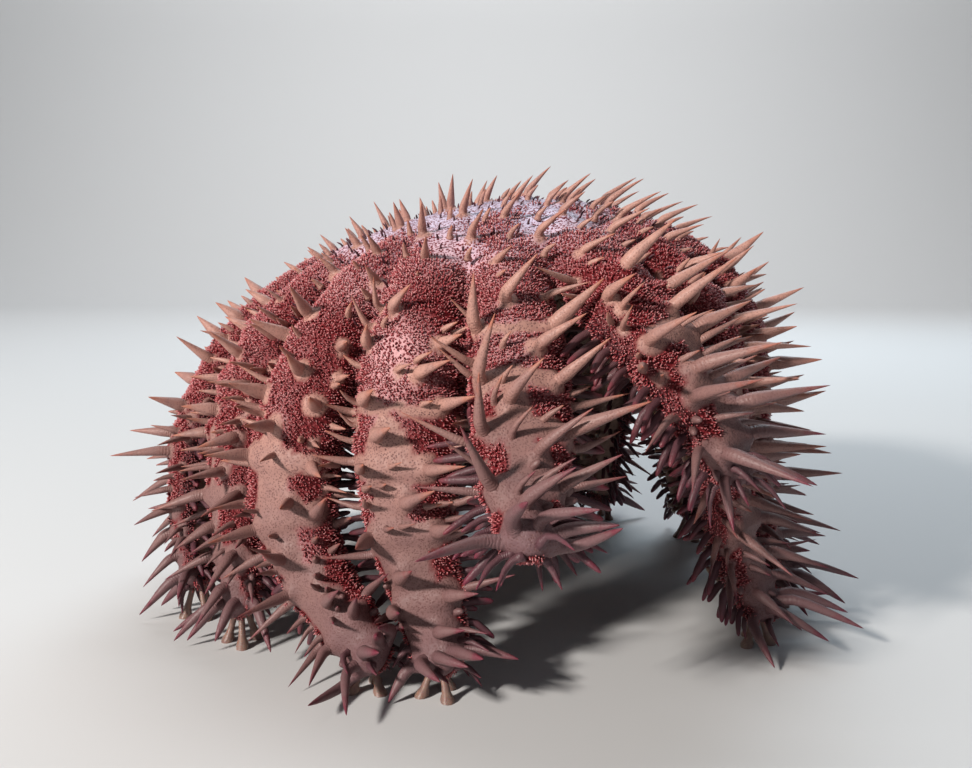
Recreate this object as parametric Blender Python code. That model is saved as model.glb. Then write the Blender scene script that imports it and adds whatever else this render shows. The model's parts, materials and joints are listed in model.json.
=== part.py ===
"""A crown of thorns starfish, life size and still, arched high on the ends of its arms.

Metres, +Z up, floor at z = 0. The camera side is -Y, and an azimuth of 0 points that way,
with positive azimuths turning towards +X. The origin is on the floor, under the middle of
the box round the whole animal. Each arm is traced from the crown of the disc as one line
along the top of its skin, and every ring, spine and tube foot is set from that line.
"""

import math
from collections import namedtuple

import bmesh
import bpy
import numpy as np
from mathutils import Matrix, Vector

# Driving sizes of the body
CROWN = Vector((-0.00072, 0.01130, 0.1265))  # top of the disc's skin
DISC_REACH = 0.074  # along the skin, from the crown to the arms' roots
DISC_TILT = 9.0  # degrees, the disc leans down towards TILT_AZIMUTH
TILT_AZIMUTH = -90.0
MIDDLE_THICKNESS = 0.038
MOUTH_DEPTH = 0.006
RIM_THICKNESS = 0.021
RIM_REACH = 0.062  # where the disc's skin parts into its arms
GROOVE_SINK = 0.005  # depth of the furrow between two arms there
DOME_DROP = 0.0024  # how far the disc's skin lies under the arms' ridge lines by its reach
ARM_COUNT = 16
ARM_STEP = 360.0 / ARM_COUNT
FIRST_AZIMUTH = -16.0
TIP_REST = 0.0090  # height of a resting arm's last ridge point
GAP = 0.0003  # between touching nodes
FLOOR_CLEAR = 0.0008  # lowest point of any spine

# An arm's half width and thickness, at shares of its free length
WIDTH_AT = (0.0, 0.15, 0.4, 0.7, 1.0)
HALF_WIDTHS = (0.0118, 0.0134, 0.0136, 0.0106, 0.0060)
THICKNESS_AT = (0.0, 0.3, 1.0)
THICKNESSES = (0.019, 0.017, 0.0092)
END_ROUND = 0.008  # length of the rounded end of an arm
SPLIT_SHARE = 0.5  # where an arm is parted into its two lengths
SECTION_SIDES = 10
RING_PITCH = 0.014
GROOVE_RISE = 0.20  # the groove under an arm, as a share of the thickness
UNDER_TAPER = 0.22  # how much an arm narrows towards its underside

# Tube feet under each resting tip: how far ahead and aside of its middle, and their radii
FOOT_BACK = 0.0065
FOOT_PLACES = ((0.0042, 0.0), (-0.0022, 0.0042), (-0.0022, -0.0042))
FOOT_FLAT = 0.0020
FOOT_NECK = 0.0012

# Spines, all of them three-sided. An arm has rows over its back, one along each margin, a
# comb beside the groove underneath, and a spray round its tip
SPINE_SIDES = 3
STEM_SHARE = 0.17  # of a spine's length that stands square on the skin, up to its elbow
ROOT_SINK = 0.0026
SPINE_CLEAR = 0.0004  # from any other spine
ARM_CLEAR = 0.0012  # from any other arm
SPLIT_CLEAR = 0.0012  # from the cut between an arm's lengths
BACK_PITCH = 0.0083
SHOWN_BACK_PITCH = 0.0075  # on the arms that are held up
BACK_ANGLES = ((-14,), (-44, 44), (14,), (-44, 44))
BACK_LENGTH_AT = (0.0, 0.35, 0.75, 1.0)
BACK_LENGTHS = (0.0125, 0.0165, 0.0180, 0.0160)
BACK_RADIUS = 0.0021
MARGIN_START = 0.032
MARGIN_PITCH = 0.0120
MARGIN_ANGLE = 83
MARGIN_LENGTH = 0.0150
MARGIN_RADIUS = 0.0014
COMB_PITCH = 0.0210
SHOWN_COMB_PITCH = 0.0095  # where an arm is held up, so that its underside shows
COMB_ANGLE = 128
COMB_LENGTH = 0.0083
COMB_RADIUS = 0.0011
TIP_BACK = 0.0045
TIP_ANGLES = (-80, -34, 8, 46, 88)
TIP_LENGTH = 0.0160
TIP_RADIUS = 0.0015
DISTAL_GAIN = 1.25  # of their lean towards the tip, by the end of an arm
STRAY = 0.14  # how much their directions vary
DISC_SPINES = 64
DISC_SPREAD = 0.92  # how far out they stand, as a share of the disc
DISC_SPINE_LENGTHS = (0.0085, 0.0180)  # on the disc's left and on its right
DISC_SPINE_RADIUS = 0.0016
DISC_LEAN = (-0.15, 1.10)  # towards +X, likewise
LENGTH_SPREAD = (0.75, 1.2)
RADIUS_SPREAD = (0.85, 1.2)
GOLDEN_ANGLE = 137.508
SEED = 11

# One row for each arm, in order of azimuth, all in degrees but the last three values: its
# turn about its own normal half way along and at its tip, its pitch below level at the
# disc's rim, a third along, three quarters along and at the tip, its roll, the sideways lean
# of its spines, their lean towards its tip as a slope, their length and its own width against
# the usual, and the whole length from the crown where the tip is held up, or None where it
# comes down to the floor
Pose = namedtuple("Pose",
                  "turn end_turn rim mid low tip roll lean tipward spine width reach")
POSES = (
    Pose(0, 22, 48, 80, 90, 62, 0, 50, -0.30, 0.92, 1.04, None),
    Pose(-3, -5, 46, 52, 38, 22, 0, 38, -0.30, 1.15, 0.92, 0.150),
    Pose(15, 17, 36, 46, 68, 82, 18, 32, 0.10, 1.20, 1.00, 0.143),
    Pose(4, 10, 40, 82, 88, 58, 0, 12, 0.10, 1.10, 0.95, None),
    Pose(1, 5, 38, 82, 88, 60, 0, 8, 0.0, 1.05, 1.00, None),
    Pose(0, 1, 40, 78, 86, 56, 0, 0, 0.0, 1.00, 1.00, None),
    Pose(2, 6, 42, 76, 88, 60, 0, -8, 0.0, 1.00, 0.95, None),
    Pose(6, 12, 44, 80, 86, 54, 0, -10, 0.0, 1.00, 1.00, None),
    Pose(-4, -12, 44, 76, 88, 62, 0, 6, 0.0, 1.00, 1.00, None),
    Pose(3, 12, 46, 80, 88, 58, 0, -6, 0.0, 1.00, 0.95, None),
    Pose(-6, -14, 44, 74, 86, 54, 0, 8, 0.0, 1.00, 1.00, None),
    Pose(4, 12, 42, 76, 88, 60, 0, -8, 0.0, 1.00, 1.00, None),
    Pose(0, 0, 40, 62, 90, 100, 0, -10, 0.10, 0.95, 1.00, None),
    Pose(8, 24, 38, 60, 95, 110, 0, -20, 0.15, 0.92, 1.02, None),
    Pose(4, 16, 42, 72, 92, 84, 16, -12, 0.15, 0.92, 1.00, None),
    Pose(-6, 58, 46, 78, 96, 84, 22, 22, -0.10, 0.95, 0.97, None),
)

SKIN_RED = (0.33, 0.075, 0.075, 1.0)
SKIN_TAN = (0.42, 0.27, 0.23, 1.0)

Line = namedtuple("Line", "s ridge along side up length width")
Spine = namedtuple("Spine", "root normal way length radius elbow")


def azimuth_of(index):
    """Which way an arm, or a part of the disc between two, points."""
    return FIRST_AZIMUTH + ARM_STEP * index


def trace(azimuth, pose, length):
    """The line along the top of an arm's skin, from the crown to its tip, 1 mm a step."""
    s = np.linspace(0.0, length, int(length * 1000) + 1)
    free = length - DISC_REACH
    start = DISC_TILT * math.cos(math.radians(azimuth - TILT_AZIMUTH))
    at = (0, 0.55 * DISC_REACH, DISC_REACH, DISC_REACH + 0.33 * free,
          DISC_REACH + 0.72 * free, length)
    pitches = (start, 0.45 * start + 0.4 * pose.rim, pose.rim, pose.mid, pose.low, pose.tip)
    pitch = np.radians(np.interp(s, at, pitches))[:, None]
    share = np.clip((s - DISC_REACH) / free, 0, 1)[:, None]
    turn = np.radians(np.interp(share, (0, 0.4, 0.85), (0, pose.turn, pose.end_turn)))
    roll = np.radians(np.interp(share, (0, 0.6), (0, pose.roll)))
    a = math.radians(azimuth)
    outward = np.array((math.sin(a), -math.cos(a), 0.0))
    across = np.array((math.cos(a), math.sin(a), 0.0))
    down = np.cos(pitch) * outward - np.sin(pitch) * np.array((0.0, 0.0, 1.0))
    up = np.cross(down, across)
    along = np.cos(turn) * down + np.sin(turn) * across
    level = np.cos(turn) * across - np.sin(turn) * down
    side = np.cos(roll) * level - np.sin(roll) * up
    up = np.cos(roll) * up + np.sin(roll) * level
    steps = np.diff(s, prepend=0)[:, None]
    ridge = np.array(CROWN) + np.cumsum(along * steps, 0)
    return Line(s, ridge, along, side, up, length, pose.width)


def arm_line(index):
    """An arm's line, at its stated length or at the length that brings its tip to rest."""
    pose = POSES[index]
    if pose.reach:
        return trace(azimuth_of(index), pose, pose.reach)
    for length in np.arange(0.140, 0.230, 0.0005):
        line = trace(azimuth_of(index), pose, float(length))
        if line.ridge[-1][2] <= TIP_REST:
            break
    return line


def on_line(line, s):
    """The ridge point and the three directions at a distance along a line."""
    def read(values):
        return Vector([np.interp(s, line.s, values[:, i]) for i in range(3)])
    return (read(line.ridge), read(line.along).normalized(), read(line.side).normalized(),
            read(line.up).normalized())


def sizes_at(line, s):
    """Half width and thickness of an arm at a distance along its line."""
    share = np.clip((s - DISC_REACH) / (line.length - DISC_REACH), 0, 1)
    left = np.clip((line.length - s) / END_ROUND, 0, 1)
    rounding = math.sqrt(1 - (1 - left) ** 2)
    width = np.interp(share, WIDTH_AT, HALF_WIDTHS) * line.width
    thickness = np.interp(share, THICKNESS_AT, THICKNESSES)
    return width * (0.20 + 0.80 * rounding), thickness * (0.30 + 0.70 * rounding)


def section_point(angle, width, thickness):
    """Across and up of one point of an arm's section. Angle 0 is its ridge."""
    c = math.cos(math.radians(angle))
    rise = -thickness / 2 + thickness / 2 * (c if c > 0 else -abs(c) ** 0.7)
    if abs(angle - 180) < 1:
        rise = -thickness * (1 - GROOVE_RISE)
    return width * math.sin(math.radians(angle)) * (1 - UNDER_TAPER * max(0.0, -c)), rise


def ring_at(line, s):
    """The points round an arm at a distance along its line."""
    ridge, _, side, up = on_line(line, s)
    width, thickness = sizes_at(line, s)
    ring = []
    for i in range(SECTION_SIDES):
        across, rise = section_point(360 * i / SECTION_SIDES, width, thickness)
        ring.append(ridge + side * across + up * rise)
    return ring


def dome_pose(azimuth):
    """The rim pitch of the disc at any azimuth, between its two nearest arms."""
    place = (azimuth - FIRST_AZIMUTH) / ARM_STEP
    low = math.floor(place)
    part = place - low
    rim = POSES[low % ARM_COUNT].rim * (1 - part) + POSES[(low + 1) % ARM_COUNT].rim * part
    return POSES[0]._replace(turn=0, end_turn=0, rim=rim, mid=rim, low=rim, tip=rim, roll=0)


def dome_line(azimuth):
    """The line over the disc's dome at any azimuth."""
    return trace(azimuth, dome_pose(azimuth), DISC_REACH + 0.01)


def mesh_object(name, rings, material):
    """A closed mesh through rings of points, with flat ends."""
    bm = bmesh.new()
    rows = [[bm.verts.new(p) for p in ring] for ring in rings]
    for low, high in zip(rows, rows[1:]):
        if len(high) == 1:
            for i in range(len(low)):
                bm.faces.new((low[i], low[(i + 1) % len(low)], high[0]))
            continue
        for i in range(len(low)):
            j = (i + 1) % len(low)
            bm.faces.new((low[i], low[j], high[j], high[i]))
    bm.faces.new(rows[0][::-1])
    if len(rows[-1]) > 1:
        bm.faces.new(rows[-1])
    return body_object(name, bm, material)


def body_object(name, bm, material):
    """An object from a closed mesh, its faces turned outwards."""
    bmesh.ops.recalc_face_normals(bm, faces=bm.faces)
    mesh = bpy.data.meshes.new(name)
    bm.to_mesh(mesh)
    bm.free()
    mesh.materials.append(material)
    obj = bpy.data.objects.new(name, mesh)
    bpy.context.scene.collection.objects.link(obj)
    return obj


def spine_points(spine):
    """Root on the skin, elbow and tip of a spine."""
    elbow = spine.root + spine.normal * spine.length * STEM_SHARE
    return spine.root, elbow, elbow + spine.way * spine.length * (1 - STEM_SHARE)


def spine_piece(spine, material):
    """A tapered spine: a stem square on the skin, an elbow, and a blade to a sharp tip."""
    root, elbow, tip = spine_points(spine)
    axis = spine.normal.cross(spine.way)
    if axis.length < 0.05:
        axis = spine.normal.orthogonal()
    axis.normalize()

    def ring(centre, facing, radius):
        other = facing.cross(axis).normalized()
        turns = [math.tau * i / SPINE_SIDES for i in range(SPINE_SIDES)]
        return [centre + (axis * math.cos(t) + other * math.sin(t)) * radius for t in turns]

    rings = [ring(root - spine.normal * ROOT_SINK, spine.normal, spine.radius)]
    if spine.elbow:
        rings.append(ring(elbow, (spine.normal + spine.way).normalized(), spine.radius))
    rings.append([tip])
    return mesh_object("spine", rings, material)


def closest(p1, q1, p2, q2):
    """Distance between the segments p1 q1 and p2 q2, and where along each it lies."""
    d1, d2, r = q1 - p1, q2 - p2, p1 - p2
    a, e, f = d1.dot(d1), d2.dot(d2), d2.dot(r)
    b, c = d1.dot(d2), d1.dot(r)
    under = a * e - b * b
    s = min(max((b * f - c * e) / under, 0), 1) if under > 1e-12 else 0.0
    t = min(max((b * s + f) / e, 0), 1)
    s = min(max((b * t - c) / a, 0), 1)
    return (p1 + d1 * s - p2 - d2 * t).length, s, t


def spines_touch(one, other):
    """Whether two spines come nearer than their clearance, as cones that end in a point."""
    root_1, elbow_1, tip_1 = spine_points(one)
    root_2, elbow_2, tip_2 = spine_points(other)
    for start_1, start_2 in ((root_1, root_2), (elbow_1, elbow_2)):
        gap, s, t = closest(start_1, tip_1, start_2, tip_2)
        if gap < SPINE_CLEAR + one.radius * (1 - s) + other.radius * (1 - t):
            return True
    return False


def in_arm(point, line, margin):
    """Whether a point lies in an arm, or nearer to it than margin."""
    offset = line.ridge - np.array(point)
    i = int(np.argmin((offset ** 2).sum(1)))
    if line.s[i] < DISC_REACH:
        return False
    width, thickness = sizes_at(line, line.s[i])
    local = -offset[i]
    across = local @ line.side[i]
    rise = local @ line.up[i] + thickness / 2
    beyond = max(0.0, local @ line.along[i])
    reach = (across / (width + margin)) ** 2 + (rise / (thickness / 2 + margin)) ** 2
    return reach + (beyond / (0.002 + margin)) ** 2 < 1


def in_the_way(spine, index, lines, placed):
    """Whether a spine meets the floor, another arm, or a spine already placed."""
    _, elbow, tip = spine_points(spine)
    for share in (0.0, 0.25, 0.5, 0.75, 1.0):
        point = elbow.lerp(tip, share)
        radius = spine.radius * (1 - share)
        if point.z - radius < FLOOR_CLEAR:
            return True
        for j, line in enumerate(lines):
            if j != index and in_arm(point, line, ARM_CLEAR + radius):
                return True
    near = [o for o in placed if (o.root - spine.root).length < 0.06]
    return any(spines_touch(spine, other) for other in near)


def settle(spine, index, lines, placed, lift_to):
    """Lifts and then shortens a spine until nothing is in its way. None if that fails."""
    for size in (1.0, 0.82, 0.64):
        for lift in (0.0, 0.25, 0.5, 0.75, 1.0):
            way = spine.way.lerp(lift_to, lift).normalized()
            tried = spine._replace(way=way, length=spine.length * size)
            if not in_the_way(tried, index, lines, placed):
                return tried
    return None


def surface_at(line, s, angle):
    """The point and the outward direction on an arm's skin."""
    ridge, along, side, up = on_line(line, s)
    width, thickness = sizes_at(line, s)
    across, rise = section_point(angle, width, thickness)
    a = math.radians(angle)
    normal = (side * math.sin(a) * thickness / 2 + up * math.cos(a) * width).normalized()
    return ridge + side * across + up * rise, normal, along, side, up


def arm_spine(line, pose, s, angle, length, radius, elbow, stray):
    """One spine of an arm, leaning towards the tip more, the nearer it is to the tip."""
    point, normal, along, side, up = surface_at(line, s, angle)
    share = (s - DISC_REACH) / (line.length - DISC_REACH)
    distal = pose.tipward + DISTAL_GAIN * max(0.0, share) ** 6 + stray[0]
    lean = math.tan(math.radians(pose.lean)) * max(0.0, math.cos(math.radians(angle)))
    lean += stray[1]
    way = (normal + along * distal + side * lean).normalized()
    return Spine(point, normal, way, length * pose.spine, radius, elbow), up


def places_along(line, start, end, pitch, rng):
    """Places along an arm, from start past its root to end before its tip, a little uneven."""
    places = np.arange(DISC_REACH + start, line.length - end, pitch)
    return places + rng.uniform(-0.12, 0.12, len(places)) * pitch


def wanted_spines(line, pose, rng):
    """Place, angle round the arm, length, radius and elbow of each spine that an arm has."""
    wanted = []
    pitch = SHOWN_BACK_PITCH if pose.reach else BACK_PITCH
    for i, s in enumerate(places_along(line, 0.005, 0.009, pitch, rng)):
        share = (s - DISC_REACH) / (line.length - DISC_REACH)
        length = np.interp(share, BACK_LENGTH_AT, BACK_LENGTHS)
        for angle in BACK_ANGLES[i % len(BACK_ANGLES)]:
            wanted.append((s, angle, length, BACK_RADIUS, True))
    for turn in (-1, 1):
        for s in places_along(line, MARGIN_START, 0.008, MARGIN_PITCH, rng):
            wanted.append((s, turn * MARGIN_ANGLE, MARGIN_LENGTH, MARGIN_RADIUS, True))
        pitch = SHOWN_COMB_PITCH if pose.reach else COMB_PITCH
        for s in places_along(line, 0.016, 0.010, pitch, rng):
            wanted.append((s, turn * COMB_ANGLE, COMB_LENGTH, COMB_RADIUS, False))
    for angle in TIP_ANGLES:
        wanted.append((line.length - TIP_BACK, angle, TIP_LENGTH, TIP_RADIUS, True))
    return wanted


def arm_spines(index, line, lines, placed, rng):
    """The spines of one arm, clear of everything else and of the cut between its lengths."""
    pose = POSES[index]
    split = DISC_REACH + SPLIT_SHARE * (line.length - DISC_REACH)
    kept = []
    for s, angle, length, radius, elbow in wanted_spines(line, pose, rng):
        edge = radius + SPLIT_CLEAR
        s = max(s, DISC_REACH + edge)
        if abs(s - split) < edge:
            s = split + math.copysign(edge, s - split)
        angle += rng.uniform(-8, 8)
        length *= rng.uniform(*LENGTH_SPREAD)
        radius *= rng.uniform(*RADIUS_SPREAD)
        stray = rng.normal(0, STRAY, 2)
        spine, up = arm_spine(line, pose, s, angle, length, radius, elbow, stray)
        spine = settle(spine, index, lines, placed, up)
        if spine:
            placed.append(spine)
            kept.append((s, spine))
    return split, kept


def disc_spines(lines, placed, rng):
    """The spines of the disc, on a sunflower spiral, longer towards the right side."""
    kept = []
    for i in range(DISC_SPINES):
        azimuth = GOLDEN_ANGLE * i
        s = DISC_SPREAD * DISC_REACH * math.sqrt((i + 0.5) / DISC_SPINES)
        ridge, along, _, up = on_line(dome_line(azimuth), s)
        right = 0.5 + 0.5 * math.sin(math.radians(azimuth)) * s / DISC_REACH
        lean = Vector((np.interp(right, (0, 1), DISC_LEAN), 0.0, 0.0))
        way = (up + along * 0.35 + lean).normalized()
        length = np.interp(right, (0, 1), DISC_SPINE_LENGTHS) * rng.uniform(*LENGTH_SPREAD)
        spine = Spine(ridge - up * dome_drop(s), up, way, length, DISC_SPINE_RADIUS, True)
        spine = settle(spine, None, lines, placed, up)
        if spine:
            placed.append(spine)
            kept.append(spine)
    return kept


def dome_drop(s):
    """How far the disc's own skin lies under the arms' ridge lines."""
    return DOME_DROP * (s / DISC_REACH) ** 2


def thickness_under(s):
    """The disc's thickness, from its rim to its middle, so that its mouth side is flatter."""
    inward = 1 - (s / RIM_REACH) ** 2
    return RIM_THICKNESS + (MIDDLE_THICKNESS - RIM_THICKNESS) * inward


def hub_ring(s, turns, under):
    """Points round the disc at one distance from the crown. turns counts arms from the first."""
    found = []
    for turn in turns:
        ridge, _, _, up = on_line(dome_line(azimuth_of(turn)), s)
        off_arm = abs(turn - round(turn)) * 2
        sunk = GROOVE_SINK * off_arm ** 2 * (s / RIM_REACH) ** 3
        sunk = thickness_under(s) - sunk if under else sunk + dome_drop(s)
        found.append(ridge - up * sunk)
    return found


def disc_body(lines, material):
    """The disc with the roots of its arms: a dome whose rim runs out into sixteen lobes."""
    bm = bmesh.new()
    quarters = [i / 4 - 0.5 for i in range(4 * ARM_COUNT)]
    halves = [i / 2 for i in range(2 * ARM_COUNT)]
    skins = []
    for under, middle_depth in ((False, 0.0), (True, MIDDLE_THICKNESS - MOUTH_DEPTH)):
        rings = [hub_ring(RIM_REACH, quarters, under), hub_ring(0.72 * RIM_REACH, halves, under),
                 hub_ring(0.36 * RIM_REACH, range(ARM_COUNT), under)]
        rim, middle, inner = [[bm.verts.new(p) for p in ring] for ring in rings]
        step_in(bm, rim, middle, 2)
        step_in(bm, middle, inner, 0)
        centre = bm.verts.new(CROWN - Vector((0, 0, middle_depth)))
        for one, other in zip(inner, inner[1:] + inner[:1]):
            bm.faces.new((one, other, centre))
        skins.append(rim)
    for i, line in enumerate(lines):
        top, low = [[rim[(4 * i + n) % len(rim)] for n in range(5)] for rim in skins]
        inside = top[2:] + low[::-1] + top[:2]
        end = [bm.verts.new(p) for p in ring_at(line, DISC_REACH - GAP / 2)]
        for k in range(SECTION_SIDES):
            j = (k + 1) % SECTION_SIDES
            bm.faces.new((inside[k], inside[j], end[j], end[k]))
        bm.faces.new(end)
    return body_object("disc", bm, material)


def step_in(bm, outer, inner, start):
    """Triangles between a ring and one of half its points, which begins at outer[start]."""
    count = len(outer)
    for j, one in enumerate(inner):
        other = inner[(j + 1) % len(inner)]
        a, b, c = [outer[(start + 2 * j + n) % count] for n in range(3)]
        bm.faces.new((one, a, b))
        bm.faces.new((one, b, other))
        bm.faces.new((other, b, c))


def tube_feet(line, material):
    """Three tube feet splayed under an arm's end, each with a small flat on the floor."""
    ridge, along, _, up = on_line(line, line.length - FOOT_BACK)
    top = ridge - up * sizes_at(line, line.length - FOOT_BACK)[1] / 2
    heading = Vector((along.x, along.y, 0.0)).normalized()
    beam = Vector((-heading.y, heading.x, 0.0))
    turns = [math.tau * (i + 0.5) / 4 for i in range(4)]
    feet = []
    for ahead, aside in FOOT_PLACES:
        flat = Vector((top.x, top.y, 0.0)) + heading * ahead + beam * aside
        rings = []
        for middle, radius in ((flat, FOOT_FLAT), (top.lerp(flat, 0.15), FOOT_NECK)):
            rings.append([middle + (heading * math.cos(t) + beam * math.sin(t)) * radius
                          for t in turns])
        feet.append(mesh_object("foot", rings, material))
    return feet


def keep_largest(obj):
    """Drops all but the largest closed surface of a mesh."""
    bm = bmesh.new()
    bm.from_mesh(obj.data)
    bmesh.ops.triangulate(bm, faces=bm.faces)
    left, shells = set(bm.faces), []
    while left:
        shell, queue = set(), [left.pop()]
        while queue:
            face = queue.pop()
            shell.add(face)
            for edge in face.edges:
                for other in edge.link_faces:
                    if other in left:
                        left.discard(other)
                        queue.append(other)
        shells.append(shell)

    def volume(shell):
        return sum(f.verts[0].co.dot(f.verts[1].co.cross(f.verts[2].co)) for f in shell)

    shells.sort(key=volume)
    scraps = [face for shell in shells[:-1] for face in shell]
    bmesh.ops.delete(bm, geom=scraps, context="FACES")
    bm.to_mesh(obj.data)
    bm.free()


def fuse(name, body, pieces, parent):
    """Joins pieces to a body by one Boolean union, and places the node at its root."""
    body.name = name
    if pieces:
        group = bpy.data.collections.new("pieces")
        bpy.context.scene.collection.children.link(group)
        for piece in pieces:
            bpy.context.scene.collection.objects.unlink(piece)
            group.objects.link(piece)
        union = body.modifiers.new("union", "BOOLEAN")
        union.operation = "UNION"
        union.operand_type = "COLLECTION"
        union.collection = group
        union.solver = "EXACT"
        bpy.context.view_layer.objects.active = body
        bpy.ops.object.modifier_apply(modifier=union.name)
        for piece in pieces:
            bpy.data.objects.remove(piece)
        bpy.data.collections.remove(group)
        keep_largest(body)
    origin = sum((v.co for v in body.data.vertices), Vector()) / len(body.data.vertices)
    body.data.transform(Matrix.Translation(-origin))
    body.location = origin
    body.parent = parent
    return body


def make_material(name, colour, roughness):
    """A plain skin material."""
    material = bpy.data.materials.new(name)
    material.use_nodes = True
    shader = material.node_tree.nodes["Principled BSDF"]
    shader.inputs["Base Color"].default_value = colour
    shader.inputs["Roughness"].default_value = roughness
    return material


def arm_body(name, line, start, end, material):
    """One length of an arm as a closed loft."""
    stop = min(end, line.length - END_ROUND)
    count = max(2, round((stop - start) / RING_PITCH))
    places = [start + (stop - start) * i / count for i in range(count + 1)]
    if end > stop:
        places += [line.length - END_ROUND * share for share in (0.5, 0.18, 0.0)]
    return mesh_object(name, [ring_at(line, s) for s in places], material)


def main():
    for obj in list(bpy.data.objects):
        bpy.data.objects.remove(obj)
    red = make_material("papulate_skin", SKIN_RED, 0.55)
    tan = make_material("arm_skin", SKIN_TAN, 0.5)
    parent = bpy.data.objects.new("starfish", None)
    bpy.context.scene.collection.objects.link(parent)

    rng = np.random.default_rng(SEED)
    lines = [arm_line(i) for i in range(ARM_COUNT)]
    placed = []
    found = [arm_spines(i, line, lines, placed, rng) for i, line in enumerate(lines)]
    spines = [spine_piece(s, red) for s in disc_spines(lines, placed, rng)]
    fuse("disc", disc_body(lines, red), spines, parent)

    for i, (line, (split, spines)) in enumerate(zip(lines, found)):
        root = arm_body("root", line, DISC_REACH + GAP / 2, split - GAP / 2, tan)
        fuse(f"arm_{i + 1:02d}_base", root,
             [spine_piece(p, tan) for s, p in spines if s < split], parent)
        end = arm_body("end", line, split + GAP / 2, line.length, tan)
        feet = [] if POSES[i].reach else tube_feet(line, tan)
        fuse(f"arm_{i + 1:02d}_tip", end,
             feet + [spine_piece(p, tan) for s, p in spines if s > split], parent)


main()
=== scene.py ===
# %% [markdown]
# # A crown of thorns starfish
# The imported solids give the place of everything: a domed disc and sixteen arms that arch down
# to the floor, each with its rows of thick venomous spines. This lesson puts one soft skin over
# them, sets finer and denser spines on it, and fills the red patches with papulae, the small
# gill fingers that the animal breathes with.

# %% Load the frame
import json
import math
from collections import namedtuple

import bmesh
import bpy
import numpy as np
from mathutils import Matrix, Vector, noise
from mathutils.kdtree import KDTree

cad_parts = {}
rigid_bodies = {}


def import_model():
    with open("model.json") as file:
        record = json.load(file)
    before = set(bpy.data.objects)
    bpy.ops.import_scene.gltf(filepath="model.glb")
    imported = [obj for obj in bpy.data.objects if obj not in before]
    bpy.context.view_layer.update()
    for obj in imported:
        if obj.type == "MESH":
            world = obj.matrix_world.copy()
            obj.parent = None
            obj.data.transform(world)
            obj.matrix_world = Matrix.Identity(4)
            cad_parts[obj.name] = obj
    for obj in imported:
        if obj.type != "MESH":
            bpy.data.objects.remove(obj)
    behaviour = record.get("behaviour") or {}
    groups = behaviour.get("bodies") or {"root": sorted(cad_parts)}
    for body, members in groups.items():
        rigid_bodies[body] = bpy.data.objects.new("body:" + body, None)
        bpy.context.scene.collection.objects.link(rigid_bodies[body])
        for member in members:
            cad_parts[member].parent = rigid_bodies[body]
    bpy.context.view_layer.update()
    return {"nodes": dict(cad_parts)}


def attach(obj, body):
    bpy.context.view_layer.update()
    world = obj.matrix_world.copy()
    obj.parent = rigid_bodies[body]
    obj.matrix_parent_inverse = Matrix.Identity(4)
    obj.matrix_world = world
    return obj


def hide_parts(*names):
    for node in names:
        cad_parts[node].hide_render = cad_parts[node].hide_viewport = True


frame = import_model()
scene = bpy.context.scene

# %% [markdown]
# ## The driving sizes
# These are the sizes that the solids were made from, in metres and degrees. Typed in again by
# the same names, they let the skin and the spines be built round the same lines. An azimuth of
# 0 points towards the camera, and positive azimuths turn towards +X.

# %% Sizes of the body
CROWN = Vector((-0.00072, 0.01130, 0.1265))
DISC_REACH = 0.074
DISC_TILT = 9.0
TILT_AZIMUTH = -90.0
ARM_COUNT = 16
ARM_STEP = 360.0 / ARM_COUNT
FIRST_AZIMUTH = -16.0
TIP_REST = 0.0090
print("arms", ARM_COUNT, "with", ARM_STEP, "degrees between them")

# %% [markdown]
# ## How each arm is held
# One row for each arm, in order of azimuth: its turn half way along and at its tip, its pitch
# below level at the rim, a third along, three quarters along and at the tip, its roll, the
# sideways lean of its spines, their slope towards its tip, their length and its width against
# the usual, and its whole length where it is held up. The last four may be left out. The second
# and third arms are the two that lift clear.

# %% Poses of the arms
Pose = namedtuple("Pose",
                  "turn end_turn rim mid low tip roll lean tipward spine width reach",
                  defaults=(0.0, 1.0, 1.0, None))
POSES = (
    Pose(0, 22, 48, 80, 90, 62, 0, 50, -0.30, 0.92, 1.04),
    Pose(-3, -5, 46, 52, 38, 22, 0, 38, -0.30, 1.15, 0.92, 0.150),
    Pose(15, 17, 36, 46, 68, 82, 18, 32, 0.10, 1.20, 1.00, 0.143),
    Pose(4, 10, 40, 82, 88, 58, 0, 12, 0.10, 1.10, 0.95),
    Pose(1, 5, 38, 82, 88, 60, 0, 8, spine=1.05),
    Pose(0, 1, 40, 78, 86, 56, 0, 0),
    Pose(2, 6, 42, 76, 88, 60, 0, -8, width=0.95),
    Pose(6, 12, 44, 80, 86, 54, 0, -10),
    Pose(-4, -12, 44, 76, 88, 62, 0, 6),
    Pose(3, 12, 46, 80, 88, 58, 0, -6, width=0.95),
    Pose(-6, -14, 44, 74, 86, 54, 0, 8),
    Pose(4, 12, 42, 76, 88, 60, 0, -8),
    Pose(0, 0, 40, 62, 90, 100, 0, -10, 0.10, 0.95),
    Pose(8, 24, 38, 60, 95, 110, 0, -20, 0.15, 0.92, 1.02),
    Pose(4, 16, 42, 72, 92, 84, 16, -12, 0.15, 0.92),
    Pose(-6, 58, 46, 78, 96, 84, 22, 22, -0.10, 0.95, 0.97),
)
print("arms held up", sum(pose.reach is not None for pose in POSES))

# %% Trace a line along each arm
BENDS_AT = (0.55, 0.33, 0.72)
RIM_BLEND = (0.45, 0.4)
SHORTEST = 0.140
LONGEST = 0.230
Line = namedtuple("Line", "s ridge along side up length width")


def azimuth_of(index):
    """Which way an arm, or a part of the disc between two, points."""
    return FIRST_AZIMUTH + ARM_STEP * index


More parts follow.
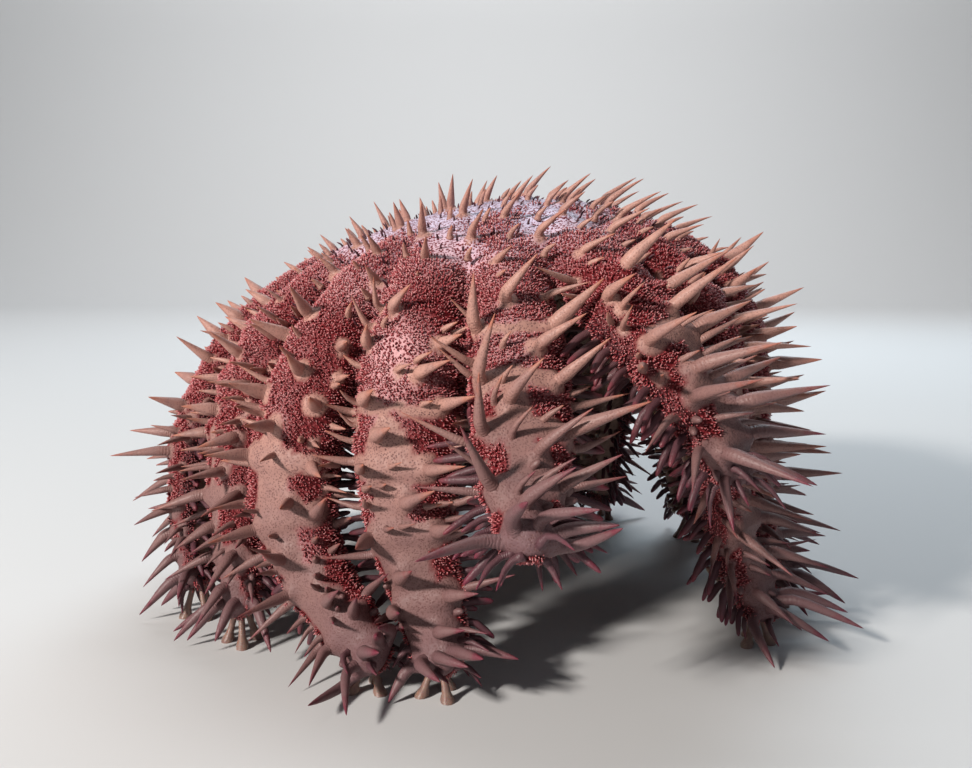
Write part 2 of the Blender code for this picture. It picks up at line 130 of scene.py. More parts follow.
def trace(azimuth, pose, length):
    """The line along the top of an arm's skin, from the crown to its tip, 1 mm a step."""
    s = np.linspace(0.0, length, int(length * 1000) + 1)
    free = length - DISC_REACH
    start = DISC_TILT * math.cos(math.radians(azimuth - TILT_AZIMUTH))
    at = (0, BENDS_AT[0] * DISC_REACH, DISC_REACH, DISC_REACH + BENDS_AT[1] * free,
          DISC_REACH + BENDS_AT[2] * free, length)
    inner = RIM_BLEND[0] * start + RIM_BLEND[1] * pose.rim
    pitches = (start, inner, pose.rim, pose.mid, pose.low, pose.tip)
    pitch = np.radians(np.interp(s, at, pitches))[:, None]
    share = np.clip((s - DISC_REACH) / free, 0, 1)[:, None]
    turn = np.radians(np.interp(share, (0, 0.4, 0.85), (0, pose.turn, pose.end_turn)))
    roll = np.radians(np.interp(share, (0, 0.6), (0, pose.roll)))
    a = math.radians(azimuth)
    outward = np.array((math.sin(a), -math.cos(a), 0.0))
    across = np.array((math.cos(a), math.sin(a), 0.0))
    down = np.cos(pitch) * outward - np.sin(pitch) * np.array((0.0, 0.0, 1.0))
    up = np.cross(down, across)
    along = np.cos(turn) * down + np.sin(turn) * across
    level = np.cos(turn) * across - np.sin(turn) * down
    side = np.cos(roll) * level - np.sin(roll) * up
    up = np.cos(roll) * up + np.sin(roll) * level
    steps = np.diff(s, prepend=0)[:, None]
    ridge = np.array(CROWN) + np.cumsum(along * steps, 0)
    return Line(s, ridge, along, side, up, length, pose.width)


def arm_line(index):
    """An arm's line, at its stated length or at the length that brings its tip to rest."""
    pose = POSES[index]
    if pose.reach:
        return trace(azimuth_of(index), pose, pose.reach)
    for length in np.arange(SHORTEST, LONGEST, 0.0005):
        line = trace(azimuth_of(index), pose, float(length))
        if line.ridge[-1][2] <= TIP_REST:
            break
    return line


def on_line(line, s):
    """The ridge point and the three directions at a distance along a line."""
    def read(values):
        return Vector([np.interp(s, line.s, values[:, i]) for i in range(3)])
    return (read(line.ridge), read(line.along).normalized(), read(line.side).normalized(),
            read(line.up).normalized())


lines = [arm_line(i) for i in range(ARM_COUNT)]
print("arm lengths in mm", [round(1000 * line.length) for line in lines])

# %% [markdown]
# ## The section of an arm
# Across, an arm is a flattened oval with a groove along its underside, in which the tube feet
# run. The disc is a dome whose skin sinks between the roots of the arms.

# %% Sections and surfaces
WIDTH_AT = (0.0, 0.15, 0.4, 0.7, 1.0)
HALF_WIDTHS = (0.0118, 0.0134, 0.0136, 0.0106, 0.0060)
THICKNESS_AT = (0.0, 0.3, 1.0)
THICKNESSES = (0.019, 0.017, 0.0092)
END_ROUND = 0.008
END_WIDTH = 0.20
END_THICKNESS = 0.30
UNDER_TAPER = 0.22
UNDER_FLATNESS = 0.7
GROOVE_RISE = 0.20
GROOVE_SPREAD = 34


def share_of(line, s):
    """How far out on the free arm a distance is, from 0 at the disc's rim to 1 at the tip."""
    return (s - DISC_REACH) / (line.length - DISC_REACH)


def sizes_at(line, s):
    """Half width and thickness of an arm at a distance along its line."""
    share = np.clip(share_of(line, s), 0, 1)
    left = np.clip((line.length - s) / END_ROUND, 0, 1)
    rounding = math.sqrt(1 - (1 - left) ** 2)
    width = np.interp(share, WIDTH_AT, HALF_WIDTHS) * line.width
    thickness = np.interp(share, THICKNESS_AT, THICKNESSES)
    return (width * (END_WIDTH + (1 - END_WIDTH) * rounding),
            thickness * (END_THICKNESS + (1 - END_THICKNESS) * rounding))


def oval_point(angle, width, thickness):
    """Across and up of one point of an arm's plain oval. Angle 0 is its ridge."""
    c = math.cos(math.radians(angle))
    rise = -thickness / 2 + thickness / 2 * (c if c > 0 else -abs(c) ** UNDER_FLATNESS)
    return width * math.sin(math.radians(angle)) * (1 - UNDER_TAPER * max(0.0, -c)), rise


def section_point(angle, width, thickness):
    """The same point, with the groove pressed into the underside."""
    across, rise = oval_point(angle, width, thickness)
    into_groove = max(0.0, 1 - abs(abs(angle) - 180) / GROOVE_SPREAD)
    rise += thickness * GROOVE_RISE * into_groove ** 2 * (3 - 2 * into_groove)
    return across, rise


def surface_at(line, s, angle):
    """The point and the outward direction on an arm's skin, and the arm's directions there."""
    ridge, along, side, up = on_line(line, s)
    width, thickness = sizes_at(line, s)
    across, rise = oval_point(angle, width, thickness)
    a = math.radians(angle)
    normal = (side * math.sin(a) * thickness / 2 + up * math.cos(a) * width).normalized()
    return ridge + side * across + up * rise, normal, along, side, up


print("width half way in mm", round(2000 * sizes_at(lines[5], 0.12)[0], 1))

# %% The disc's dome
DOME_DROP = 0.0024


def dome_line(azimuth):
    """The line over the disc's dome at any azimuth, between its two nearest arms."""
    place = (azimuth - FIRST_AZIMUTH) / ARM_STEP
    low = math.floor(place)
    part = place - low
    rim = POSES[low % ARM_COUNT].rim * (1 - part) + POSES[(low + 1) % ARM_COUNT].rim * part
    pose = POSES[0]._replace(turn=0, end_turn=0, rim=rim, mid=rim, low=rim, tip=rim, roll=0)
    return trace(azimuth, pose, DISC_REACH + 0.01)


def dome_drop(s):
    """How far the disc's own skin lies under the arms' ridge lines."""
    return DOME_DROP * (s / DISC_REACH) ** 2


print("drop at the rim in mm", round(1000 * dome_drop(DISC_REACH), 1))

# %% [markdown]
# ## The camera
# It stands as close in front of the animal as the photograph's, a little above its middle, and
# looks slightly down. A modest lens at that distance gives the strong perspective.

# %% Camera
PHOTO_WIDTH = 972
FOCAL_PIXELS = 950
CAMERA_BACK = 0.31
CAMERA_DROP = 0.015
CAMERA_PITCH = 82
SENSOR_WIDTH = 36
camera_data = bpy.data.cameras.new("camera")
camera_data.sensor_width = SENSOR_WIDTH
camera_data.lens = FOCAL_PIXELS * SENSOR_WIDTH / PHOTO_WIDTH
camera = bpy.data.objects.new("camera", camera_data)
camera.location = CROWN - Vector((0, CAMERA_BACK, CAMERA_DROP))
camera.rotation_euler = (math.radians(CAMERA_PITCH), 0, 0)
scene.collection.objects.link(camera)
scene.camera = camera
print("lens", round(camera_data.lens, 2))

# %% [markdown]
# ## Where the spines stand
# A real arm carries rows of spines over its back, a row of thinner ones on each margin, and
# blunt ones in a comb beside the groove. They are set by the same loop, from the same sizes and
# the same seed as on the solids, so that the outline agrees. Each is lifted or shortened until
# it is clear of its neighbours.

# %% Keeping spines clear of each other
STEM_SHARE = 0.17
SPINE_CLEAR = 0.0004
Spine = namedtuple("Spine", "root normal way length radius kind place")


def spine_points(spine):
    """Root on the skin, elbow and tip of a spine."""
    elbow = spine.root + spine.normal * spine.length * STEM_SHARE
    return spine.root, elbow, elbow + spine.way * spine.length * (1 - STEM_SHARE)


def closest(p1, q1, p2, q2):
    """Distance between the segments p1 q1 and p2 q2, and where along each it lies."""
    d1, d2, r = q1 - p1, q2 - p2, p1 - p2
    a, e, f = d1.dot(d1), d2.dot(d2), d2.dot(r)
    b, c = d1.dot(d2), d1.dot(r)
    under = a * e - b * b
    s = min(max((b * f - c * e) / under, 0), 1) if under > 1e-12 else 0.0
    t = min(max((b * s + f) / e, 0), 1)
    s = min(max((b * t - c) / a, 0), 1)
    return (p1 + d1 * s - p2 - d2 * t).length, s, t


def spines_touch(one, other):
    """Whether two spines come nearer than their clearance, as cones that end in a point."""
    root_1, elbow_1, tip_1 = spine_points(one)
    root_2, elbow_2, tip_2 = spine_points(other)
    for start_1, start_2 in ((root_1, root_2), (elbow_1, elbow_2)):
        gap, s, t = closest(start_1, tip_1, start_2, tip_2)
        if gap < SPINE_CLEAR + one.radius * (1 - s) + other.radius * (1 - t):
            return True
    return False


# %% Keeping them off the arms and the floor
ARM_CLEAR = 0.0012
FLOOR_CLEAR = 0.0008
END_BULGE = 0.002
NEARBY = 0.06
SHORTENED = (1.0, 0.82, 0.64)
QUARTERS = (0.0, 0.25, 0.5, 0.75, 1.0)


def in_arm(point, line, margin):
    """Whether a point lies in an arm, or nearer to it than margin."""
    offset = line.ridge - np.array(point)
    i = int(np.argmin((offset ** 2).sum(1)))
    if line.s[i] < DISC_REACH:
        return False
    width, thickness = sizes_at(line, line.s[i])
    local = -offset[i]
    across = local @ line.side[i]
    rise = local @ line.up[i] + thickness / 2
    beyond = max(0.0, local @ line.along[i])
    reach = (across / (width + margin)) ** 2 + (rise / (thickness / 2 + margin)) ** 2
    return reach + (beyond / (END_BULGE + margin)) ** 2 < 1


def in_the_way(spine, index, near_arms, placed):
    """Whether a spine meets the floor, another arm, or a spine already placed."""
    _, elbow, tip = spine_points(spine)
    for share in QUARTERS:
        point = elbow.lerp(tip, share)
        radius = spine.radius * (1 - share)
        if point.z - radius < FLOOR_CLEAR:
            return True
        for j in near_arms:
            if j != index and in_arm(point, lines[j], ARM_CLEAR + radius):
                return True
    near = [o for o in placed if (o.root - spine.root).length < NEARBY]
    return any(spines_touch(spine, other) for other in near)


def settle(spine, index, placed, lift_to):
    """Lifts and then shortens a spine until nothing is in its way. None if that fails."""
    for size in SHORTENED:
        for lift in QUARTERS:
            way = spine.way.lerp(lift_to, lift).normalized()
            tried = spine._replace(way=way, length=spine.length * size)
            if not in_the_way(tried, index, range(ARM_COUNT), placed):
                return tried
    return None


# %% Where an arm has its large spines
BACK_PITCH = 0.0083
SHOWN_BACK_PITCH = 0.0075
BACK_ANGLES = ((-14,), (-44, 44), (14,), (-44, 44))
BACK_LENGTH_AT = (0.0, 0.35, 0.75, 1.0)
BACK_LENGTHS = (0.0125, 0.0165, 0.0180, 0.0160)
BACK_RADIUS = 0.0021
MARGIN_START = 0.032
MARGIN_PITCH = 0.0120
MARGIN_ANGLE = 83
MARGIN_LENGTH = 0.0150
MARGIN_RADIUS = 0.0014
COMB_PITCH = 0.0210
SHOWN_COMB_PITCH = 0.0095
COMB_ANGLE = 128
COMB_LENGTH = 0.0083
COMB_RADIUS = 0.0011
TIP_BACK = 0.0045
TIP_ANGLES = (-80, -34, 8, 46, 88)
TIP_LENGTH = 0.0160
TIP_RADIUS = 0.0015
DISTAL_GAIN = 1.25
UNEVEN = 0.12


def arm_spine(index, s, angle, length, radius, kind, stray=(0.0, 0.0)):
    """One spine of an arm, leaning towards the tip more, the nearer it is to the tip."""
    line, pose = lines[index], POSES[index]
    point, normal, along, side, up = surface_at(line, s, angle)
    share = share_of(line, s)
    distal = pose.tipward + DISTAL_GAIN * max(0.0, share) ** 6 + stray[0]
    lean = math.tan(math.radians(pose.lean)) * max(0.0, math.cos(math.radians(angle)))
    lean += stray[1]
    way = (normal + along * distal + side * lean).normalized()
    return Spine(point, normal, way, length * pose.spine, radius, kind, (index, s, angle)), up


def places_along(line, start, end, pitch, rng):
    """Places along an arm, from start past its root to end before its tip, a little uneven."""
    places = np.arange(DISC_REACH + start, line.length - end, pitch)
    return places + rng.uniform(-UNEVEN, UNEVEN, len(places)) * pitch


def wanted_spines(line, pose, rng):
    """Place, angle round the arm, length, radius and kind of each spine that an arm has."""
    wanted = []
    pitch = SHOWN_BACK_PITCH if pose.reach else BACK_PITCH
    for i, s in enumerate(places_along(line, 0.005, 0.009, pitch, rng)):
        length = np.interp(share_of(line, s), BACK_LENGTH_AT, BACK_LENGTHS)
        for angle in BACK_ANGLES[i % len(BACK_ANGLES)]:
            wanted.append((s, angle, length, BACK_RADIUS, "thorn"))
    for turn in (-1, 1):
        for s in places_along(line, MARGIN_START, 0.008, MARGIN_PITCH, rng):
            wanted.append((s, turn * MARGIN_ANGLE, MARGIN_LENGTH, MARGIN_RADIUS, "thorn"))
        pitch = SHOWN_COMB_PITCH if pose.reach else COMB_PITCH
        for s in places_along(line, 0.016, 0.010, pitch, rng):
            wanted.append((s, turn * COMB_ANGLE, COMB_LENGTH, COMB_RADIUS, "comb"))
    for angle in TIP_ANGLES:
        wanted.append((line.length - TIP_BACK, angle, TIP_LENGTH, TIP_RADIUS, "thorn"))
    return wanted


# %% Set the arms' large spines
SPLIT_SHARE = 0.5
SPLIT_CLEAR = 0.0012
TURNED = 8
STRAY = 0.14
LENGTH_SPREAD = (0.75, 1.2)
RADIUS_SPREAD = (0.85, 1.2)
SEED = 11


def arm_spines(index, placed, rng):
    """The spines of one arm, clear of everything else and of the cut between its lengths."""
    line = lines[index]
    split = DISC_REACH + SPLIT_SHARE * (line.length - DISC_REACH)
    for s, angle, length, radius, kind in wanted_spines(line, POSES[index], rng):
        edge = radius + SPLIT_CLEAR
        s = max(s, DISC_REACH + edge)
        if abs(s - split) < edge:
            s = split + math.copysign(edge, s - split)
        angle += rng.uniform(-TURNED, TURNED)
        length *= rng.uniform(*LENGTH_SPREAD)
        radius *= rng.uniform(*RADIUS_SPREAD)
        stray = rng.normal(0, STRAY, 2)
        spine, up = arm_spine(index, s, angle, length, radius, kind, stray)
        spine = settle(spine, index, placed, up)
        if spine:
            placed.append(spine)


spines = []
rng = np.random.default_rng(SEED)
for arm in range(ARM_COUNT):
    arm_spines(arm, spines, rng)
print("large spines on the arms", len(spines))

# %% Set the disc's large spines
DISC_SPINES = 64
DISC_SPREAD = 0.92
DISC_SPINE_LENGTHS = (0.0085, 0.0180)
DISC_SPINE_RADIUS = 0.0016
DISC_LEAN = (-0.15, 1.10)
DISC_OUTWARD = 0.35
GOLDEN_ANGLE = 137.508


def disc_spine(azimuth, s, length, radius, kind):
    """One spine of the disc, leaning outwards and, on the right side, to the right."""
    ridge, along, _, up = on_line(dome_line(azimuth), s)
    right = 0.5 + 0.5 * math.sin(math.radians(azimuth)) * s / DISC_REACH
    lean = Vector((np.interp(right, (0, 1), DISC_LEAN), 0.0, 0.0))
    way = (up + along * DISC_OUTWARD + lean).normalized()
    length *= np.interp(right, (0, 1), DISC_SPINE_LENGTHS)
    place = (azimuth, s, None)
    return Spine(ridge - up * dome_drop(s), up, way, length, radius, kind, place), up


def disc_spines(placed, rng):
    """The large spines of the disc, on a sunflower spiral."""
    for i in range(DISC_SPINES):
        s = DISC_SPREAD * DISC_REACH * math.sqrt((i + 0.5) / DISC_SPINES)
        length = rng.uniform(*LENGTH_SPREAD)
        spine, up = disc_spine(GOLDEN_ANGLE * i, s, length, DISC_SPINE_RADIUS, "thorn")
        spine = settle(spine, None, placed, up)
        if spine:
            placed.append(spine)


disc_spines(spines, rng)
solid_spines = len(spines)
print("spines as on the solids", solid_spines)

# %% [markdown]
# ## Smaller spines between them
# Between the large spines the real animal has small thin ones, tiny dark pincers called
# pedicellariae on its disc, and a much closer comb along each groove. They would be far too
# many for the solids, so they are placed here, wherever there is room.

# %% Helpers for the small ones


def smooth(low, high, values):
    """A soft step from 0 at low to 1 at high."""
    t = np.clip((values - low) / (high - low), 0, 1)
    return t * t * (3 - 2 * t)


def try_spine(spine, index, placed, arms):
    """Keeps a small spine if nothing is in its way as it stands."""
    if not in_the_way(spine, index, arms, placed):
        placed.append(spine)


# %% Medium thorns and thin spines over the back
MEDIUM_PITCH = 0.0048
MEDIUM_ANGLES = (-40, 42, 4, -66, 66)
MEDIUM_LENGTH = 0.0105
MEDIUM_RADIUS = 0.0011
THIN_PITCH = 0.0052
THIN_ANGLES = (-66, -28, 30, 64)
THIN_LENGTH = 0.0070
THIN_RADIUS = 0.00085
THIN_GAPS = 0.55


def sow_back(arm, line, own, beside):
    """Medium thorns and thin spines, each at an angle of its own."""
    for s in places_along(line, 0.002, 0.006, MEDIUM_PITCH, rng):
        angle = MEDIUM_ANGLES[rng.integers(len(MEDIUM_ANGLES))] + rng.uniform(-9, 9)
        size = rng.uniform(0.75, 1.2)
        length, radius = MEDIUM_LENGTH * size, MEDIUM_RADIUS * size
        stray = rng.normal(0, STRAY, 2)
        spine, _ = arm_spine(arm, s, angle, length, radius, "thorn", stray)
        try_spine(spine, arm, own, beside)
    for s in places_along(line, 0.003, 0.012, THIN_PITCH, rng):
        for angle in THIN_ANGLES:
            if rng.random() < THIN_GAPS:
                continue
            length = THIN_LENGTH * rng.uniform(0.6, 1.35)
            spine, _ = arm_spine(arm, s, angle + rng.uniform(-14, 14), length, THIN_RADIUS, "thin")
            try_spine(spine, arm, own, beside)


# %% The close comb beside each groove
FINE_COMB_PITCH = 0.0036
FINE_COMB_ANGLES = ((100, 0.0092), (117, 0.0088), (136, 0.0066))
FINE_COMB_RADIUS = 0.00105
COMB_STRAY = 0.22


def sow_comb(arm, line, own, beside):
    """Three close rows of blunt spines on each side, combed towards the tip."""
    for side in (-1, 1):
        for angle, long in FINE_COMB_ANGLES:
            for s in places_along(line, 0.004, 0.006, FINE_COMB_PITCH, rng):
                length = long * rng.uniform(0.72, 1.25)
                radius = FINE_COMB_RADIUS * rng.uniform(0.75, 1.15)
                turned = side * (angle + rng.uniform(-5, 5))
                stray = rng.normal((0.30, 0.0), COMB_STRAY)
                spine, _ = arm_spine(arm, s, turned, length, radius, "comb", stray)
                try_spine(spine, arm, own, beside)


# %% The fan and the knobs at each tip
FAN_SPINES = 44
FAN_LENGTH = 0.0095
FAN_RADIUS = 0.00085
KNOBS = 9
KNOB_LENGTH = 0.0022
KNOB_RADIUS = 0.0009


def sow_tip(arm, line, own, beside):
    """Thin spines that fan out past the tip, and small round knobs between the thorns."""
    for _ in range(FAN_SPINES):
        s = line.length - rng.uniform(0.0010, 0.0090)
        length = FAN_LENGTH * rng.uniform(0.6, 1.2)
        spine, _ = arm_spine(arm, s, rng.uniform(-165, 165), length, FAN_RADIUS, "fan")
        way = (spine.way + on_line(line, s)[1] * rng.uniform(0.2, 0.9)).normalized()
        try_spine(spine._replace(way=way), arm, own, beside)
    for _ in range(KNOBS):
        s = line.length - rng.uniform(0.0005, 0.024)
        spine, _ = arm_spine(arm, s, rng.uniform(-85, 85), KNOB_LENGTH, KNOB_RADIUS, "knob")
        try_spine(spine, arm, own, beside)


# %% Tube feet in each groove
TUBE_FOOT_PITCH = 0.0040
TUBE_FOOT_ANGLE = 169
TUBE_FOOT_LENGTH = 0.0058
TUBE_FOOT_RADIUS = 0.0008
TUBE_FOOT_SPLAY = 0.3


def tube_foot(index, s, angle):
    """A soft foot that reaches out of the groove under an arm."""
    ridge, along, side, up = on_line(lines[index], s)
    across, rise = section_point(angle, *sizes_at(lines[index], s))
    stray = rng.normal(0, 0.25, 2)
    splay = stray[1] + math.copysign(TUBE_FOOT_SPLAY, angle)
    way = (along * stray[0] + side * splay - up).normalized()
    length = TUBE_FOOT_LENGTH * rng.uniform(0.6, 1.25)
    root = ridge + side * across + up * rise
    return Spine(root, -up, way, length, TUBE_FOOT_RADIUS, "foot", (index, s, angle))


def sow_feet(arm, line, own, beside):
    """A row of feet on each side of the groove."""
    for side in (-1, 1):
        for s in places_along(line, -0.014, 0.009, TUBE_FOOT_PITCH, rng):
            try_spine(tube_foot(arm, s, side * TUBE_FOOT_ANGLE), arm, own, beside)


# %% Sow the small spines arm by arm
for arm, line in enumerate(lines):
    beside = ((arm - 1) % ARM_COUNT, (arm + 1) % ARM_COUNT)
    own = [o for o in spines if o.place[0] in (arm, *beside) or o.place[2] is None]
    known = len(own)
    for sow in (sow_back, sow_comb, sow_tip, sow_feet):
        sow(arm, line, own, beside)
    spines += own[known:]
print("spines and feet so far", len(spines))

# %% Thin spines on the disc
DISC_THIN = 90
for i in range(DISC_THIN):
    s = DISC_REACH * math.sqrt((i + 0.5) / DISC_THIN)
    length = rng.uniform(0.35, 0.6)
    spine, _ = disc_spine(GOLDEN_ANGLE * i + 77, s, length, THIN_RADIUS, "thin")
    try_spine(spine, None, spines, ())
print("with the disc's thin spines", len(spines))

# %% [markdown]
# ## The disc's underside
# The mouth is a shallow hollow in the middle, with a ring of stiff spines that close over it.
# From it a furrow runs out under each arm, with a row of tube feet on either side. The same
# kinds of spine and foot are used as on the arms, hung from the disc's lower skin.

# %% Feet and mouth spines under the disc
MIDDLE_THICKNESS = 0.038
RIM_THICKNESS = 0.021
RIM_REACH = 0.062
MOUTH_DEPTH = 0.006
FURROW_START = 0.019
FURROW_END = 0.056
FURROW_ASIDE = 0.0017
ORAL_REACH = 0.0135
ORAL_TURN = 0.15
ORAL_INWARD = 0.7
ORAL_LENGTH = 0.0062


def disc_thickness(s):
    """How thick the disc is at a distance from the crown, with the mouth's hollow."""
    inward = 1 - (s / RIM_REACH) ** 2
    thick = RIM_THICKNESS + (MIDDLE_THICKNESS - RIM_THICKNESS) * inward
    return thick - MOUTH_DEPTH * (1 - smooth(0.007, 0.013, s))


def under_spine(azimuth, s, aside, inward, length, radius, kind):
    """A foot or a spine on the disc's underside; its place has a negative distance."""
    ridge, along, side, up = on_line(dome_line(azimuth), s)
    splay = math.copysign(TUBE_FOOT_SPLAY, aside)
    way = (side * splay - up - along * inward).normalized()
    root = ridge + side * aside - up * disc_thickness(s)
    return Spine(root, -up, way, length, radius, kind, (azimuth, -s, None))


for arm in range(ARM_COUNT):
    for side in (-1, 1):
        for s in np.arange(FURROW_START, FURROW_END, TUBE_FOOT_PITCH):
            length = TUBE_FOOT_LENGTH * rng.uniform(0.6, 1.1)
            spines.append(under_spine(azimuth_of(arm), s + rng.uniform(-0.0006, 0.0006),
                                      side * FURROW_ASIDE, 0.0, length, TUBE_FOOT_RADIUS, "foot"))
        azimuth = azimuth_of(arm + 0.5 + side * ORAL_TURN)
        spines.append(under_spine(azimuth, ORAL_REACH, side * 0.0002, ORAL_INWARD, ORAL_LENGTH,
                                  FINE_COMB_RADIUS, "comb"))
print("with the underside", len(spines))

# %% Pincers on the disc
PINCER_COUNT = 620
PINCER_LENGTH = 0.0024
PINCER_RADIUS = 0.00033
PINCER_REACH = 1.12
for i in range(PINCER_COUNT):
    s = DISC_REACH * PINCER_REACH * math.sqrt((i + 0.5) / PINCER_COUNT)
    spine, _ = disc_spine(GOLDEN_ANGLE * i + 31, s, 1.0, PINCER_RADIUS, "pincer")
    way = (spine.way + Vector(rng.uniform(-0.4, 0.4, 3))).normalized()
    length = PINCER_LENGTH * rng.uniform(0.7, 1.3)
    try_spine(spine._replace(way=way, length=length), None, spines, ())
kinds = ("thorn", "thin", "comb", "fan", "knob", "foot", "pincer")
print("spines", {kind: sum(o.kind == kind for o in spines) for kind in kinds})

# %% [markdown]
# ## The skin
# The skin is one soft bag over disc, arms and spine roots, with no seam anywhere. Plain closed
# forms are set into each other here, a dome, sixteen tapered tubes and a small cone under each
# spine, and the Remesh modifier melts them into one surface, as clay is smoothed together.
# Modelling one cage by hand would need a join at every spine, so this way was chosen.

# %% Mesh helpers


def activate(obj):
    """Selects one object alone."""
    bpy.ops.object.select_all(action="DESELECT")
    obj.select_set(True)
    bpy.context.view_layer.objects.active = obj


def apply_modifier(obj, kind, **settings):
    """Adds a modifier with the given settings and applies it."""
    activate(obj)
    modifier = obj.modifiers.new(kind.lower(), kind)
    for name, value in settings.items():
        setattr(modifier, name, value)
    bpy.ops.object.modifier_apply(modifier=modifier.name)


def loft(bm, rings):
    """A closed tube through rings of points, in a mesh that may hold others."""
    rows = [[bm.verts.new(p) for p in ring] for ring in rings]
    for low, high in zip(rows, rows[1:]):
        for i in range(len(low)):
            j = (i + 1) % len(low)
            bm.faces.new((low[i], low[j], high[j], high[i]))
    bm.faces.new(rows[0][::-1])
    bm.faces.new(rows[-1])


def object_from(name, bm):
    """An object in the scene from a bmesh, its faces turned outwards."""
    bmesh.ops.recalc_face_normals(bm, faces=bm.faces)
    mesh = bpy.data.meshes.new(name)
    bm.to_mesh(mesh)
    bm.free()
    obj = bpy.data.objects.new(name, mesh)
    scene.collection.objects.link(obj)
    return obj


# %% Arms as tubes
TUBE_SIDES = 28
TUBE_PITCH = 0.0025
TUBE_START = 0.044
START_SINK = 0.0025
START_FADE = 0.016
SKIN_INSET = 0.0002
END_SHARES = (0.75, 0.5, 0.3, 0.15, 0.04, 0.0)


def arm_ring(line, s):
    """The points round an arm. Where its root runs under the disc's skin, it sinks away."""
    ridge, _, side, up = on_line(line, s)
    width, thickness = sizes_at(line, s)
    sink = START_SINK * max(0.0, 1 - (s - TUBE_START) / START_FADE) + SKIN_INSET
    ring = []
    for i in range(TUBE_SIDES):
        across, rise = section_point(360 * i / TUBE_SIDES, width - SKIN_INSET, thickness)
        ring.append(ridge + side * across + up * (rise - sink))
    return ring


body = bmesh.new()
for line in lines:
    stop = line.length - END_ROUND
    places = np.linspace(TUBE_START, stop, round((stop - TUBE_START) / TUBE_PITCH))
    ends = [line.length - END_ROUND * share for share in END_SHARES]
    loft(body, [arm_ring(line, s) for s in [*places, *ends]])
print("vertices of the arms", len(body.verts))

# %% The disc as a dome
DISC_TURNS = [i / 6 for i in range(6 * ARM_COUNT)]
DISC_STEPS = [0.004 + 0.003 * i for i in range(21)]
GROOVE_SINK = 0.005
UNDER_FURROW = 0.0032


def disc_ring(traced, s, under):
    """Points round the disc at one distance from the crown, on its top or underneath."""
    ring = []
    for turn, line in zip(DISC_TURNS, traced):
        ridge, _, _, up = on_line(line, s)
        off_arm = abs(turn - round(turn)) * 2
        sunk = GROOVE_SINK * off_arm ** 2 * (s / RIM_REACH) ** 3
        furrow = UNDER_FURROW * max(0.0, 1 - 2 * off_arm) * smooth(0.009, 0.016, s)
        thick = disc_thickness(s) - furrow
        ring.append(ridge - up * (thick - sunk if under else sunk + dome_drop(s)))
    return ring


traced = [dome_line(azimuth_of(turn)) for turn in DISC_TURNS]
rings = [disc_ring(traced, s, True) for s in DISC_STEPS]
rings += [disc_ring(traced, s, False) for s in DISC_STEPS[::-1]]
loft(body, rings)
print("vertices with the disc", len(body.verts))

# %% A cone under each spine
CONE_SIDES = 10
CONE_SINK = 0.0016
CONE_NECK = 0.88
CONE_SPREAD = {"thorn": 1.9, "comb": 1.5}
CONE_RISE = {"thorn": 0.80, "comb": 0.5}


def circle(centre, axis, facing, radius):
    """Points of a circle that faces one way."""
    other = facing.cross(axis).normalized()
    turns = [math.tau * i / CONE_SIDES for i in range(CONE_SIDES)]
    return [centre + (axis * math.cos(t) + other * math.sin(t)) * radius for t in turns]


for spine in spines:
    if spine.kind not in CONE_SPREAD:
        continue
    axis = spine.normal.orthogonal().normalized()
    rise = spine.length * STEM_SHARE * CONE_RISE[spine.kind]
    wide = spine.radius * CONE_SPREAD[spine.kind]
    low = circle(spine.root - spine.normal * CONE_SINK, axis, spine.normal, wide)
    high = circle(spine.root + spine.normal * rise, axis, spine.normal, spine.radius * CONE_NECK)
    loft(body, [low, high])
print("with the cones", len(body.faces))

# %% A low fold of skin between the two spines of a pair
FOLD_SIDES = 8
FOLD_RADIUS = 0.0026
FOLD_SINK = 0.0010
FOLD_STEPS = 9
FOLD_REACH = 46
FOLDED_SHARES = (0.05, 0.9)
PAIR_ANGLES = (30, 58)


def fold(line, s):
    """A soft ridge across the back of an arm."""
    rings = []
    for angle in np.linspace(-FOLD_REACH, FOLD_REACH, FOLD_STEPS):
        point, normal, along, _, _ = surface_at(line, s, angle)
        swell = FOLD_RADIUS * (0.75 + 0.25 * abs(angle) / FOLD_REACH)
        ring = []
        for i in range(FOLD_SIDES):
            turn = math.tau * i / FOLD_SIDES
            ring.append(point - normal * FOLD_SINK + normal * math.cos(turn) * swell
                        + along * math.sin(turn) * swell * 1.5)
        rings.append(ring)
    loft(body, rings)


pairs = {}
for spine in spines[:solid_spines]:
    first, s, angle = spine.place
    if angle is not None and PAIR_ANGLES[0] < abs(angle) < PAIR_ANGLES[1]:
        pairs.setdefault((first, round(s, 3)), []).append(angle)
for (first, s), angles in pairs.items():
    if len(angles) == 2 and FOLDED_SHARES[0] < share_of(lines[first], s) < FOLDED_SHARES[1]:
        fold(lines[first], s)
skin = object_from("skin", body)
print("closed forms joined, faces", len(skin.data.polygons))

# %% Melt them into one skin
SKIN_VOXEL = 0.00147
SMOOTH_ROUNDS = 5
apply_modifier(skin, "REMESH", mode="VOXEL", voxel_size=SKIN_VOXEL, use_smooth_shade=True)
apply_modifier(skin, "SMOOTH", factor=0.5, iterations=SMOOTH_ROUNDS)
skin.data.calc_loop_triangles()
print("skin triangles", len(skin.data.loop_triangles))

# %% [markdown]
# ## Where on the animal each point lies
# Colours and gill fingers follow the arm: red and rough near the disc and on the flanks, smooth
# and tan along the outer back, purple towards the tip. The darkening towards the tip and on the
# flanks is partly painted shade. So every vertex is told which arm it is on, how far along and how
# far round, and these become attributes that the materials read.

# %% Coordinates along the arms


def read_vertices(mesh):
    """The vertices of a mesh as an array."""
    co = np.empty(len(mesh.vertices) * 3, np.float32)
    mesh.vertices.foreach_get("co", co)
    return co.reshape(-1, 3).astype(float)


